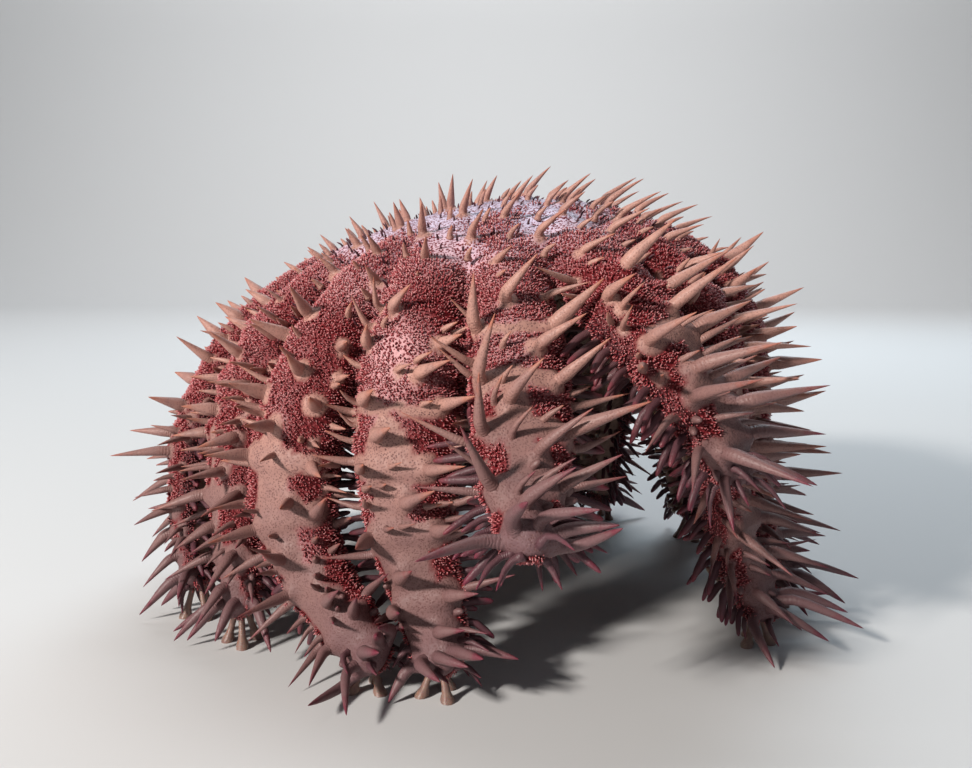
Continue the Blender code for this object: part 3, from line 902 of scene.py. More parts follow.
def middle_of(line, i):
    """The middle of an arm, or a point under the disc's skin, at one step of its line."""
    thickness = sizes_at(line, line.s[i])[1] if line.s[i] > TUBE_START else THICKNESSES[0]
    return line.ridge[i] - line.up[i] * thickness / 2


samples = [(arm, i) for arm, line in enumerate(lines) for i in range(len(line.s))]
tree = KDTree(len(samples))
for n, (arm, i) in enumerate(samples):
    tree.insert(middle_of(lines[arm], i), n)
tree.balance()


def locate(points):
    """Arm, distance along, angle round and share of the free arm for each point."""
    found = np.empty((len(points), 4))
    for row, point in enumerate(points):
        arm, i = samples[tree.find(point)[1]]
        line = lines[arm]
        width, thickness = sizes_at(line, line.s[i])
        local = point - middle_of(line, i)
        angle = math.degrees(math.atan2(local @ line.side[i] / width,
                                        local @ line.up[i] / (thickness / 2)))
        found[row] = arm, line.s[i], angle, share_of(line, line.s[i])
    return found


skin_points = read_vertices(skin.data)
skin_places = locate(skin_points)
print("vertices placed", len(skin_places), "on the disc", int((skin_places[:, 3] < 0).sum()))

# %% Trees of the spines' roots


def tree_of(chosen):
    """A search tree over the roots of some spines."""
    made = KDTree(len(chosen))
    for n, spine in enumerate(chosen):
        made.insert(spine.root, n)
    made.balance()
    return made


backs, others = [], []
for n, spine in enumerate(spines):
    if spine.kind == "thorn":
        on_back = n < solid_spines and abs(spine.place[2] or 0) < 60
        (backs if on_back else others).append(spine)
root_tree, medium_tree = tree_of(backs), tree_of(others)
print("thorns with a wide patch", len(backs), "with a small one", len(others))

# %% [markdown]
# ## Tan patches, bands and bars
# On the real animal the smooth tan skin lies round every large spine, joins the two spines of a
# pair as a bar, and runs together to a band down the outer back. Each of the three is a number
# that is above 0 inside it. The highest of the three counts, and soft noise makes its edge
# ragged. Rows of 16 values give the arms their differences, in order of azimuth.

# %% Patches round the roots
ZONE_SHARES = (-1.0, 0.0, 0.25, 0.5, 1.0)
ZONE_RADII = (0.0021, 0.0024, 0.0030, 0.0037, 0.0056)
ZONE_SIZE = (1.0, 1.0, 0.9, 0.9, 0.9, 0.9, 0.9, 0.9, 0.9, 0.9, 0.9, 0.9, 0.72, 0.72, 0.78, 1.0)
ZONE_STEEP = 1.25
MEDIUM_ZONE = 0.0019


def patches(points, places):
    """Patches of tan skin round the thorns' roots."""
    arm, share = places[:, 0].astype(int), places[:, 3]
    wide, small = (np.array([roots.find(p)[2] for p in points])
                   for roots in (root_tree, medium_tree))
    sizes = np.interp(share, ZONE_SHARES, ZONE_RADII)
    sizes *= 1 + (np.array(ZONE_SIZE)[arm] - 1) * smooth(-0.1, 0.1, share)
    return ZONE_STEEP * np.maximum(1 - wide / sizes, 1 - small / MEDIUM_ZONE)


# %% Band and bars
BAND_LATE = (0.07, 0, 0, 0.02, 0.06, 0, 0.05, 0.09, -0.02, 0.07, 0.03, 0, 0, 0, 0.03, 0.09)
BAND_SHARES = (0.14, 0.34, 0.5, 0.72, 0.88, 1.0)
BAND_ANGLES = (-30.0, 14.0, 22.0, 28.0, 60.0, 120.0)
BAND_WIDER = (13, -2, 0, -4, -6, -8, -8, -8, -8, -8, -8, -8, -14, -15, -10, 12)
BAND_SHIFT = (-14, -8, 12, 4, 0, 0, 0, 0, 0, 0, 0, 0, -8, -14, -14, -12)
BAND_RAGGED = 16
EDGE_ANGLE = 14
BAR_WIDTH = 0.0034
BAR_REACH = 54
BAR_START = (0.3, 0.16, 0.3, 0.28, 0.4, 0.22, 0.34, 0.46, 0.2, 0.42, 0.3, 0.5, 0.7, 0.75, 0.6,
             0.32)
bar_places = [[-1.0] for _ in lines]
for first, s in pairs:
    bar_places[first].append(s)


def band_and_bars(places, drift):
    """The tan band down the outer back, and the bars across it at the pairs of spines."""
    arm, s, share = places[:, 0].astype(int), places[:, 1], places[:, 3]
    aside = np.abs(places[:, 2] - np.array(BAND_SHIFT)[arm] * smooth(0, 0.2, share))
    wider = np.array(BAND_WIDER)[arm] * smooth(0.1, 0.3, share)
    late = share - np.array(BAND_LATE)[arm]
    edge = np.interp(late, BAND_SHARES, BAND_ANGLES) + wider + BAND_RAGGED * drift
    bar = np.full(len(places), -1.0)
    for n, places_of in enumerate(bar_places):
        own = np.nonzero(arm == n)[0]
        away = np.abs(s[own, None] - np.array(places_of)[None]).min(1)
        bar[own] = np.minimum(1.2 * (1 - away / BAR_WIDTH), (BAR_REACH - aside[own]) / EDGE_ANGLE)
    bar = np.where(share > np.array(BAR_START)[arm], bar, -1.0)
    return (edge - aside) / EDGE_ANGLE, bar


# %% Underside and redness
UNDER_ANGLE = 122.0
DISC_UNDER = (88, 96)
FURROW_EDGE = (0.08, 0.4)
FURROW_FROM = (0.011, 0.018)
MOUTH_EDGE = (0.0055, 0.0085)
GROOVE_EDGE = (156, 174)
# How dark the painted shade in the arms' grooves and the disc's furrows gets.
SHADE = 0.8
REDDER = (0.06, 0.10, 0.34, 0.2, 0.2, 0.1, 0.1, 0.1, 0.1, 0.1, 0.1, 0.15, 0.2, 0.3, 0.3, 0.15)


def underside(points, places):
    """How far underneath each point is, and how deep in a furrow or in the mouth, where shade is
    painted.
    """
    angle, share = np.abs(places[:, 2]), places[:, 3]
    under = smooth(UNDER_ANGLE - 8, UNDER_ANGLE + 6, angle) * (1 - smooth(0.90, 0.97, share))
    under = np.where(share < -0.12, smooth(*DISC_UNDER, angle), under)
    flat = points[:, :2] - np.array(CROWN[:2])
    turn = (np.degrees(np.arctan2(flat[:, 0], -flat[:, 1])) - FIRST_AZIMUTH) / ARM_STEP
    off_arm = np.abs(turn - np.round(turn)) * 2
    out_of = np.hypot(flat[:, 0], flat[:, 1])
    # Painted shade: the furrows under the disc, the mouth and the groove under each arm are
    # darkened.
    furrow = (1 - smooth(*FURROW_EDGE, off_arm)) * smooth(*FURROW_FROM, out_of) * SHADE
    mouth = 1 - smooth(*MOUTH_EDGE, out_of)
    groove = SHADE * smooth(*GROOVE_EDGE, angle)
    return under, np.where(share > 0, groove, np.maximum(furrow, mouth))


def redness(places, drift):
    """From 0 on the pale net of the disc to 1 on the deep red arms and flanks."""
    angle, share = np.abs(places[:, 2]), places[:, 3]
    ring = np.clip(0.17 + 0.50 * share, 0, 1) + 0.42 * smooth(-0.42, -0.02, share)
    out = np.where(share > 0, 0.35 * (angle - 45) / 60 * smooth(0, 0.15, share) + 0.1, 0.0)
    shift = np.array(REDDER)[places[:, 0].astype(int)] * smooth(-0.3, 0.1, share)
    return np.clip(ring + out + shift + 0.55 * drift, 0, 1)


# %% Store the masks on the skin
DRIFT_SCALE = 55
WOBBLE_SCALE = 160
drift = np.array([noise.noise(Vector(p) * DRIFT_SCALE + Vector((7, 3, 1))) for p in skin_points])
wobble = np.array([noise.noise(Vector(p) * WOBBLE_SCALE) for p in skin_points])
tan = np.maximum.reduce([patches(skin_points, skin_places), *band_and_bars(skin_places, drift)])
under, groove = underside(skin_points, skin_places)
share, angle = skin_places[:, 3], np.abs(skin_places[:, 2])
skin_masks = {
    "tan": smooth(-0.10, 0.22, tan + 0.55 * wobble),
    "red": redness(skin_places, drift),
    "far": np.clip(share, -1, 1),
    "under": under,
    "groove": groove,
    # A deeper red on the flanks, partly their own colour and partly painted shade between the
    # arms.
    "flank_red_and_shade": smooth(55, 105, angle) * smooth(-0.2, 0.1, share),
}
for name, values in skin_masks.items():
    layer = skin.data.attributes.new(name, "FLOAT", "POINT")
    layer.data.foreach_set("value", values.astype(np.float32))
print("tan share", round(float(skin_masks["tan"].mean()), 2))

# %% [markdown]
# ## Finishes
# Four finishes meet on the animal: tan skin, the rough red skin round it, tube feet and gill
# fingers. Painting an image would lose its grain close up, so all patterns are computed in
# Object coordinates, in metres, and keep their true scale. The attributes made above say where
# each colour belongs. The tan skin, with its fine dark pits, comes first because the spines
# wear it too.

# %% Shader helpers


def node(tree, kind, inputs=None, **settings):
    """Adds a shader node, with its settings, and with its inputs set or linked."""
    made = tree.nodes.new("ShaderNode" + kind)
    for name, value in settings.items():
        setattr(made, name, value)
    for name, value in (inputs or {}).items():
        if isinstance(value, bpy.types.NodeSocket):
            tree.links.new(value, made.inputs[name])
        else:
            made.inputs[name].default_value = value
    return made


def attribute(tree, name):
    """A value that is stored on the mesh."""
    return node(tree, "Attribute", attribute_name=name).outputs["Fac"]


def object_place(tree):
    """Where a point is on the object, in metres."""
    return node(tree, "TexCoord").outputs["Object"]


def mix(tree, share, one, other):
    """Between two colours."""
    made = node(tree, "Mix", {0: share, 6: one, 7: other}, data_type="RGBA")
    return made.outputs[2]


def step(tree, value, low, high, start=0.0, end=1.0):
    """A soft step between two values."""
    made = node(tree, "MapRange", {0: value, 1: low, 2: high, 3: start, 4: end},
                interpolation_type="SMOOTHSTEP")
    return made.outputs[0]


def math_node(tree, operation, one, other=0.0):
    """One calculation with two values."""
    made = node(tree, "Math", {0: one, 1: other}, operation=operation)
    return made.outputs[0]


def noise_at(tree, scale, detail=2.0):
    """Noise at so many grains a metre."""
    made = node(tree, "TexNoise", {"Vector": object_place(tree), "Scale": scale,
                                   "Detail": detail})
    return made.outputs["Fac"]


def cells_at(tree, scale, spread=1.0):
    """Distance to the middle of the nearest of many small cells."""
    made = node(tree, "TexVoronoi", {"Vector": object_place(tree), "Scale": scale,
                                     "Randomness": spread})
    return made.outputs["Distance"]


def emboss(tree, shader, height, strength, distance):
    """Raises a surface by a pattern."""
    bump = node(tree, "Bump", {"Height": height, "Strength": strength, "Distance": distance})
    tree.links.new(bump.outputs[0], shader.inputs["Normal"])


def start_material(name):
    """An empty node material with its shader."""
    material = bpy.data.materials.new(name)
    material.use_nodes = True
    tree = material.node_tree
    return material, tree, tree.nodes["Principled BSDF"]


# %% The tan skin, shared by the smooth band and the spines
TAN_NEAR = (0.46, 0.245, 0.200, 1)
# Darker tan further out: partly the arm's own purple-grey, partly painted shade where the light
# falls off.
TAN_FAR_AND_SHADE = (0.21, 0.112, 0.104, 1)
TAN_END = (0.135, 0.070, 0.078, 1)
PIT_SCALE = 1700
PIT_DARK = (0.115, 0.048, 0.046, 1)


def tan_skin(tree, strength):
    """Colour and height of the smooth tan skin with its fine pits."""
    far = attribute(tree, "far")
    blotch = noise_at(tree, 190, 3)
    # Darker and greyer towards the tips: partly the arm's own purple-grey end, partly painted
    # shade on the lower parts.
    colour = mix(tree, step(tree, far, 0.15, 0.75), TAN_NEAR, TAN_FAR_AND_SHADE)
    colour = mix(tree, step(tree, far, 0.72, 1.05), colour, TAN_END)
    colour = mix(tree, step(tree, blotch, 0.35, 0.75, 0.0, 0.30), colour, TAN_END)
    pits = step(tree, cells_at(tree, PIT_SCALE), 0.14, 0.56)
    show = step(tree, noise_at(tree, 260), 0.35, 0.65, 0.5 * strength, strength)
    dark = math_node(tree, "MULTIPLY", math_node(tree, "SUBTRACT", 1.0, pits), show)
    return mix(tree, dark, colour, PIT_DARK), pits


# %% [markdown]
# ## The rough skin
# On the crown the skin is a lavender net over dark red holes, where the gill fingers are drawn
# in; its bluish tint is partly painted cool light from above. Further out the net turns pink and
# then deep red. Small cells of a Voronoi texture draw the net: a soft step on the distance to each
# cell's middle gives hole or thread.

# %% Skin material
NET_PALE = (0.66, 0.37, 0.39, 1)
# Pale lavender of the crown's net, made bluer as painted cool light from above.
NET_LAVENDER_AND_BLUE_LIGHT = (0.56, 0.50, 0.66, 1)
NET_RED = (0.13, 0.008, 0.013, 1)
DEEP_RED = (0.14, 0.007, 0.011, 1)
# Near-black red of the flanks: partly their own deep red, partly painted shade between the arms.
FLANK_RED_AND_SHADE = (0.035, 0.003, 0.007, 1)
UNDER_TAN = (0.36, 0.235, 0.19, 1)
# Painted shade in the groove, the furrows and the mouth.
GROOVE_SHADE = (0.17, 0.062, 0.055, 1)
NET_SCALE = 1350


def skin_material():
    """Tan band, rough red skin and the paler underside."""
    material, tree, shader = start_material("starfish_skin")
    tan, pits = tan_skin(tree, 0.95)
    cells = cells_at(tree, NET_SCALE)
    far = attribute(tree, "far")
    # The crown's net is lavender, partly its own colour and partly painted cool light from above.
    pale = mix(tree, step(tree, far, -0.50, 0.0), NET_LAVENDER_AND_BLUE_LIGHT, NET_PALE)
    wide = math_node(tree, "ADD", cells, step(tree, noise_at(tree, 210), 0.3, 0.7, -0.10, 0.06))
    net = mix(tree, step(tree, wide, 0.36, 0.50), NET_RED, pale)
    rough = mix(tree, attribute(tree, "red"), net, DEEP_RED)
    # The flanks turn near-black red, partly their own colour and partly painted shade.
    rough = mix(tree, attribute(tree, "flank_red_and_shade"), rough, FLANK_RED_AND_SHADE)
    colour = mix(tree, attribute(tree, "tan"), rough, tan)
    # Painted shade: the groove, furrows and mouth turn towards a darker brown.
    below = mix(tree, attribute(tree, "groove"), UNDER_TAN, GROOVE_SHADE)
    colour = mix(tree, attribute(tree, "under"), colour, below)
    tree.links.new(colour, shader.inputs["Base Color"])
    low = math_node(tree, "ADD", math_node(tree, "MULTIPLY", pits, 0.30),
                    math_node(tree, "MULTIPLY", noise_at(tree, 620, 3), 0.9))
    height = node(tree, "Mix", {0: attribute(tree, "tan"), 2: cells, 3: low}).outputs[0]
    emboss(tree, shader, height, 0.55, 0.0004)
    tree.links.new(step(tree, noise_at(tree, 900), 0.3, 0.7, 0.52, 0.68),
                   shader.inputs["Roughness"])
    shader.inputs["Specular IOR Level"].default_value = 0.35
    return material


skin.data.materials.append(skin_material())
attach(skin, "root")
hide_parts(*sorted(frame["nodes"]))
print("skin stands for", len(frame["nodes"]), "nodes")

# %% [markdown]
# ## The look of the spines
# Real spines are sheathed in the tan skin, which wrinkles at the base and wears thin at the
# point, orange on the back and magenta near the arm's end. How high a point is on its spine is
# stored with each copy as the attribute rise, and both effects follow it. Comb spines and pincers
# are dark purple-brown, and spines further round towards the underside are darkened as painted
# shade.

# %% Spine material
# Dark purple-brown of comb spines and pincers, also used as painted shade on spines towards the
# underside.
COMB_PURPLE_AND_SHADE = (0.075, 0.026, 0.036, 1)
TIP_ORANGE = (0.38, 0.125, 0.075, 1)
TIP_MAGENTA = (0.145, 0.015, 0.035, 1)


def spine_material():
    """Tan skin with wrinkles at the base and a coloured tip."""
    material, tree, shader = start_material("spine_skin")
    tan, pits = tan_skin(tree, 0.45)
    far, rise, purple_and_shade = (attribute(tree, name) for name in ("far", "rise", "purple_and_shade"))
    # Spines turn dark purple-brown: by their own colour for combs and pincers, as painted shade
    # further round the arm.
    colour = mix(tree, purple_and_shade, tan, COMB_PURPLE_AND_SHADE)
    late = math_node(tree, "MAXIMUM", purple_and_shade, step(tree, far, 0.45, 0.85))
    tip = mix(tree, late, TIP_ORANGE, TIP_MAGENTA)
    wander = math_node(tree, "ADD", rise, step(tree, noise_at(tree, 420), 0.3, 0.7, -0.1, 0.1))
    plain = math_node(tree, "SUBTRACT", 1.0, attribute(tree, "plain"))
    end = math_node(tree, "MULTIPLY", step(tree, wander, 0.55, 1.10), plain)
    colour = mix(tree, end, colour, tip)
    tree.links.new(colour, shader.inputs["Base Color"])
    uneven = math_node(tree, "MULTIPLY", noise_at(tree, 500), 9.0)
    waves = math_node(tree, "SINE", math_node(tree, "ADD", uneven,
                                              math_node(tree, "MULTIPLY", rise, 150.0)))
    fold = math_node(tree, "MULTIPLY", waves, step(tree, rise, 0.14, 0.42, 0.22, 0.0))
    height = math_node(tree, "ADD", math_node(tree, "MULTIPLY", pits, 0.3), fold)
    emboss(tree, shader, height, 0.5, 0.0003)
    shader.inputs["Roughness"].default_value = 0.50
    shader.inputs["Specular IOR Level"].default_value = 0.40
    return material


# %% [markdown]
# ## The look of the tube feet
# Tube feet are soft, damp and a little see-through. Subsurface scattering gives that, fine
# rings across them are raised by a wave texture, and the sucker at the end is paler.

# %% Tube foot material
WAVES = 900.0
FOOT_PALE = (0.24, 0.145, 0.115, 1)
FOOT_END = (0.40, 0.28, 0.22, 1)


def foot_material():
    """Soft, damp and a little see-through, with a paler sucker."""
    material, tree, shader = start_material("tube_feet")
    rings = node(tree, "TexWave", {"Vector": object_place(tree), "Scale": WAVES,
                                   "Distortion": 2.0}, bands_direction="Z")
    colour = mix(tree, step(tree, attribute(tree, "rise"), 0.7, 0.95), FOOT_PALE, FOOT_END)
    colour = mix(tree, step(tree, noise_at(tree, 700), 0.4, 0.7, 0.0, 0.4), colour, TAN_END)
    tree.links.new(colour, shader.inputs["Base Color"])
    emboss(tree, shader, rings.outputs["Fac"], 0.35, 0.0002)
    shader.inputs["Roughness"].default_value = 0.35
    shader.inputs["Subsurface Weight"].default_value = 0.25
    shader.inputs["Subsurface Scale"].default_value = 0.002
    return material


# %% [markdown]
# ## The look of the gill fingers
# Blood-red at the foot and paler at the end, each by its own amount, so that many thousands
# together sparkle as the real wet ones do; the pale ends are partly a painted highlight. A random
# number for each finger, the attribute vary, chooses its end colour.

# %% Gill finger material
GILL_DEEP = (0.20, 0.014, 0.020, 1)
GILL_RED = (0.40, 0.062, 0.072, 1)
# Pale pink end colour, partly the fingers' own and partly a painted highlight.
GILL_PALE_AND_HIGHLIGHT = (0.80, 0.48, 0.48, 1)


def gill_material():
    """Deep red at the foot of each finger, paler at the end of some."""
    material, tree, shader = start_material("gill_fingers")
    rise, vary = attribute(tree, "rise"), attribute(tree, "vary")
    # The pale end colour is partly a painted highlight on each wet finger.
    end = mix(tree, vary, GILL_RED, GILL_PALE_AND_HIGHLIGHT)
    colour = mix(tree, step(tree, rise, 0.25, 1.0), GILL_DEEP, end)
    tree.links.new(colour, shader.inputs["Base Color"])
    shader.inputs["Roughness"].default_value = 0.33
    return material


# %% [markdown]
# ## Modelling the spines
# Each kind of spine is modelled once, straight and upright: a circle is extruded ring by ring,
# each ring is scaled to the width that the real spine has at that height, and the last is drawn
# to a point. A thorn has a stem, a thick elbow and a long keeled blade. A comb spine is blunt,
# and a tube foot flares into a sucker. Curve modifiers on 4,000 spines would be slow, so the
# copies are bent in code, each along its own line from root through elbow to tip.

# %% Model each kind once
THORN_RINGS = ((-0.10, 1.35), (-0.02, 1.32), (0.05, 1.12), (0.11, 1.00), (0.17, 0.98),
               (0.23, 1.00), (0.30, 0.95), (0.40, 0.83), (0.52, 0.68), (0.66, 0.51),
               (0.79, 0.34), (0.89, 0.20), (0.96, 0.09))
FINGER_RINGS = ((-0.10, 1.5), (0.0, 1.3), (0.08, 1.08), (0.20, 1.0), (0.35, 0.93), (0.52, 0.82),
                (0.68, 0.66), (0.82, 0.46), (0.92, 0.26), (0.97, 0.13))
THIN_RINGS = ((-0.12, 1.5), (0.02, 1.2), (0.18, 1.0), (0.45, 0.85), (0.75, 0.50), (0.93, 0.22))
COMB_RINGS = ((-0.16, 1.3), (0.05, 1.1), (0.35, 1.0), (0.70, 0.88), (0.90, 0.62), (0.97, 0.35))
KNOB_RINGS = ((-0.4, 1.5), (0.25, 1.1), (0.70, 0.9), (0.93, 0.5))
FOOT_RINGS = ((-0.3, 1.2), (0.2, 0.95), (0.7, 0.8), (0.88, 0.95), (0.96, 1.5))
PINCER_RINGS = ((-0.2, 1.2), (0.4, 0.9), (0.8, 0.6))
GILL_RINGS = ((-0.30, 1.0), (0.72, 0.85))
POINT = 0.05


def model_rod(name, sides, rings):
    """A straight upright form through rings of (height, radius), closed to a point at 1."""
    bpy.ops.object.select_all(action="DESELECT")
    (low, start), *rest = rings
    bpy.ops.mesh.primitive_circle_add(vertices=sides, radius=start, fill_type="NGON",
                                      location=(0, 0, low))
    rod = bpy.context.object
    rod.name = name
    bpy.ops.object.transform_apply(location=True)
    bpy.ops.object.mode_set(mode="EDIT")
    height, radius = low, start
    for high, wide in [*rest, (1.0, POINT)]:
        bpy.ops.mesh.extrude_region_move(TRANSFORM_OT_translate={"value": (0, 0, high - height)})
        share = wide / radius
        bpy.ops.transform.resize(value=(share, share, 1), center_override=(0, 0, high))
        height, radius = high, wide
    bpy.ops.mesh.merge(type="CENTER")
    bpy.ops.mesh.select_all(action="SELECT")
    bpy.ops.mesh.normals_make_consistent(inside=False)
    bpy.ops.mesh.quads_convert_to_tris()
    bpy.ops.object.mode_set(mode="OBJECT")
    co = read_vertices(rod.data)
    faces = np.array([list(p.vertices) for p in rod.data.polygons])
    bpy.data.objects.remove(rod)
    print(name, "triangles", len(faces))
    return co, faces


thorn_form = model_rod("thorn", 9, THORN_RINGS)
finger_form = model_rod("finger", 9, FINGER_RINGS)
thin_form = model_rod("thin_spine", 6, THIN_RINGS)
comb_form = model_rod("comb_spine", 6, COMB_RINGS)
pincer_form = model_rod("pincer", 4, PINCER_RINGS)
knob_form = model_rod("knob", 6, KNOB_RINGS)
foot_form = model_rod("tube_foot", 6, FOOT_RINGS)
gill_form = model_rod("gill", 3, GILL_RINGS)

# %% Press the thorn's blade a little flat
KEEL_START = 0.25
THINNER = 0.14
WIDER = 0.06
keel = np.clip(thorn_form[0][:, 2] / KEEL_START, 0, 1)
thorn_form[0][:, 1] *= 1 - THINNER * keel
thorn_form[0][:, 0] *= 1 + WIDER * keel
print("thorn's greatest width", round(float(np.ptp(thorn_form[0][:, 0])), 2))

# %% [markdown]
# ## Bending and joining the copies
# Each copy starts along the skin's normal and turns at its elbow into its own way, as the real
# spines do. All copies of a kind become one mesh, because thousands of objects would slow the
# scene. Each copy also has a small patch of its own on an unwrap, at the place of its root, so
# that the export can bake its colours.

# %% Bend copies of a form
TURN_HEIGHTS = (0.05, 0.30)
WEAK = 0.03


def unit(vectors):
    """Vectors at length 1."""
    return vectors / np.linalg.norm(vectors, axis=-1, keepdims=True)


def bend(form, root, normal, way, length, radius, bow):
    """Copies of an upright form, each bent from its root's normal into its own way."""
    co, faces = form
    heights, level = np.unique(np.round(co[:, 2], 4), return_inverse=True)
    turn = smooth(*TURN_HEIGHTS, heights)[None, :, None]
    past = (1 + bow * np.clip(heights - TURN_HEIGHTS[1], 0, 1))[None, :, None]
    facing = unit(normal[:, None] + (way - normal)[:, None] * turn * past)
    steps = np.diff(heights)[None, :, None] * (facing[:, 1:] + facing[:, :-1]) / 2
    start = normal[:, None] * heights[0]
    line = np.concatenate([start, start + np.cumsum(steps, 1)], 1) * length[:, None, None]
    line = line + root[:, None]
    axis = np.cross(normal, way)
    weak = np.linalg.norm(axis, axis=1) < WEAK
    axis[weak] = np.cross(normal[weak], (0.36, 0.48, 0.8))
    axis = unit(axis)[:, None]
    other = np.cross(facing, axis)
    x, y = co[:, 0][None, :, None], co[:, 1][None, :, None]
    wide = radius[:, None, None]
    points = line[:, level] + (axis * x + other[:, level] * y) * wide
    count = len(root)
    shifted = faces[None] + np.arange(count)[:, None, None] * len(co)
    return points.reshape(-1, 3), shifted.reshape(-1, 3)


# %% Places on the unwrap
UV_SCALE = 0.45
PATCH = 0.0015
STRIP = 0.12
STRIP_WIDTH = 0.118


def root_uv(place):
    """Where a root lies on the skin's unwrap: the disc as a circle, the arms as strips."""
    first, s, angle = place
    if angle is None:
        turn = math.radians(first)
        reach = abs(s) / UV_SCALE
        middle = 0.2 if s > 0 else 0.65
        return middle + reach * math.sin(turn), 0.8 - reach * math.cos(turn)
    across = angle / 360 * STRIP_WIDTH
    return (STRIP / 2 + STRIP * (first % 8) + across,
            0.02 + 0.29 * (first // 8) + (s - 0.05) / UV_SCALE * 0.8)


# %% Join bent copies into one piece


def joined_piece(name, form, bent, values, roots, material, patch):
    """One mesh of many bent copies, with its attributes and its patches on the unwrap."""
    points, faces = bent
    mesh = bpy.data.meshes.new(name)
    mesh.vertices.add(len(points))
    mesh.vertices.foreach_set("co", points.astype(np.float32).ravel())
    mesh.loops.add(faces.size)
    mesh.loops.foreach_set("vertex_index", faces.astype(np.int32).ravel())
    mesh.polygons.add(len(faces))
    mesh.polygons.foreach_set("loop_start", np.arange(0, faces.size, 3, dtype=np.int32))
    mesh.polygons.foreach_set("use_smooth", np.ones(len(faces), bool))
    mesh.update(calc_edges=True)
    co = form[0]
    values = dict(values, rise=None)
    for key, value in values.items():
        layer = mesh.attributes.new(key, "FLOAT", "POINT")
        if key == "rise":
            value = np.tile(np.clip(co[:, 2], 0, 1), len(roots))
        else:
            value = np.repeat(value, len(co))
        layer.data.foreach_set("value", value.astype(np.float32))
    local = np.stack([co[:, 0] / np.abs(co[:, 0]).max() * patch[0], co[:, 2] * patch[1]], 1)
    uv = (np.array(roots)[:, None] + local[None]).reshape(-1, 2)
    layer = mesh.uv_layers.new(name="OFBake")
    layer.data.foreach_set("uv", uv[faces.ravel()].astype(np.float32).ravel())
    mesh.materials.append(material)
    obj = bpy.data.objects.new(name, mesh)
    scene.collection.objects.link(obj)
    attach(obj, "root")
    print(name, "copies", len(roots), "triangles", len(faces))
    return obj


# %% [markdown]
# ## The spines as shown
# The solids' spines are a little sturdier than the real ones. Here the thorns are slimmer, and
# shorter on the disc and on the left arms. At the resting tips they are longer wherever the
# floor leaves room. The small kinds keep the size that they were placed with.

# %% Lengths and widths as shown
KIND_PURPLE = {"thorn": 0.0, "thin": 0.0, "comb": 0.9, "fan": 0.7, "knob": 0.2, "foot": 0.0,
        "pincer": 1.0}
SLIM = {"thorn": 0.80}
DISC_SHORT = 0.84
TIP_LONGER = 1.22
TIP_ZONE = 0.007
FLOOR_GAP = 0.002
SHORTER_ARMS = (11, 12, 13, 14)
SHORTER = 0.8
FULL_LENGTH_AT = (0.35, 0.65)


def at_tip(spine):
    """Whether a thorn belongs to the fan at an arm's end."""
    first, s, angle = spine.place
    return spine.kind == "thorn" and angle is not None and lines[first].length - s < TIP_ZONE


def shown_length(spine):
    """A spine's length, shorter or longer than on the solids where that looks right."""
    if spine.place[2] is None:
        return spine.length * DISC_SHORT
    longer = spine.length * TIP_LONGER
    resting = not POSES[spine.place[0]].reach
    if resting and at_tip(spine) and (spine.root + spine.way * longer).z > FLOOR_GAP:
        return longer
    first, s, _ = spine.place
    if spine.kind == "thorn" and first in SHORTER_ARMS:
        full = smooth(*FULL_LENGTH_AT, share_of(lines[first], s))
        return spine.length * (SHORTER + (1 - SHORTER) * full)
    return spine.length


def shown_radius(spine):
    """Thorns are slimmer than the solid ones, except at the arms' ends."""
    if at_tip(spine):
        return spine.radius
    return spine.radius * SLIM.get(spine.kind, 1.0)


# %% Spines of every kind
BOW = 0.25
# From this angle round the arm on, spines are darkened as painted shade towards the underside.
SHADE_FROM_ANGLE = 80
SHADE_OVER_ANGLE = 90
spine_look = spine_material()
foot_look = foot_material()


def spine_piece(name, form, chosen, patch, look):
    """Joins the spines of one kind into one piece."""
    root, normal, way = (np.array([getattr(o, key)[:] for o in chosen])
                         for key in ("root", "normal", "way"))
    length = np.array([shown_length(o) for o in chosen])
    radius = np.array([shown_radius(o) for o in chosen])
    far = []
    for o in chosen:
        first, s, angle = o.place
        end = DISC_REACH * 2 if angle is None else lines[first].length
        far.append((s - DISC_REACH) / (end - DISC_REACH))
    # Each kind's own purple-brown, or painted shade that grows further round towards the
    # underside.
    purple_and_shade = [max(KIND_PURPLE[o.kind], (abs(o.place[2] or 0) - SHADE_FROM_ANGLE) / SHADE_OVER_ANGLE) for o in chosen]
    bent = bend(form, root, normal, way, length, radius, BOW)
    plain = np.array([float(o.kind == "knob") for o in chosen])
    values = {"far": np.array(far), "purple_and_shade": np.array(purple_and_shade), "plain": plain}
    roots = [root_uv(o.place) for o in chosen]
    return joined_piece(name, form, bent, values, roots, look, patch)


for kind, name, form, patch, look in (
        ("thorn", "thorn_spines", thorn_form, (0.004, 0.011), spine_look),
        ("finger", "tip_fingers", finger_form, (0.004, 0.011), spine_look),
        ("thin", "thin_spines", thin_form, (0.0025, 0.005), spine_look),
        ("comb", "comb_spines", comb_form, (0.002, 0.005), spine_look),
        ("fan", "tip_spines", thin_form, (0.002, 0.006), spine_look),
        ("knob", "tip_knobs", knob_form, (PATCH, 2 * PATCH), spine_look),
        ("pincer", "pincers", pincer_form, (PATCH, 2 * PATCH), spine_look),
        ("foot", "groove_feet", foot_form, (0.0025, 0.004), foot_look)):
    chosen = [o for o in spines if ("finger" if at_tip(o) else o.kind) == kind]
    spine_piece(name, form, chosen, patch, look)

# %% [markdown]
# ## Feet on the floor
# Each resting arm stands on three stouter tube feet under its end, pressed flat by its weight.
# The solids have them at the same places, and the model stands on them. There are only a few
# dozen, so each is a loft with its own flat end on the floor, drawn out to a sucker's rim.

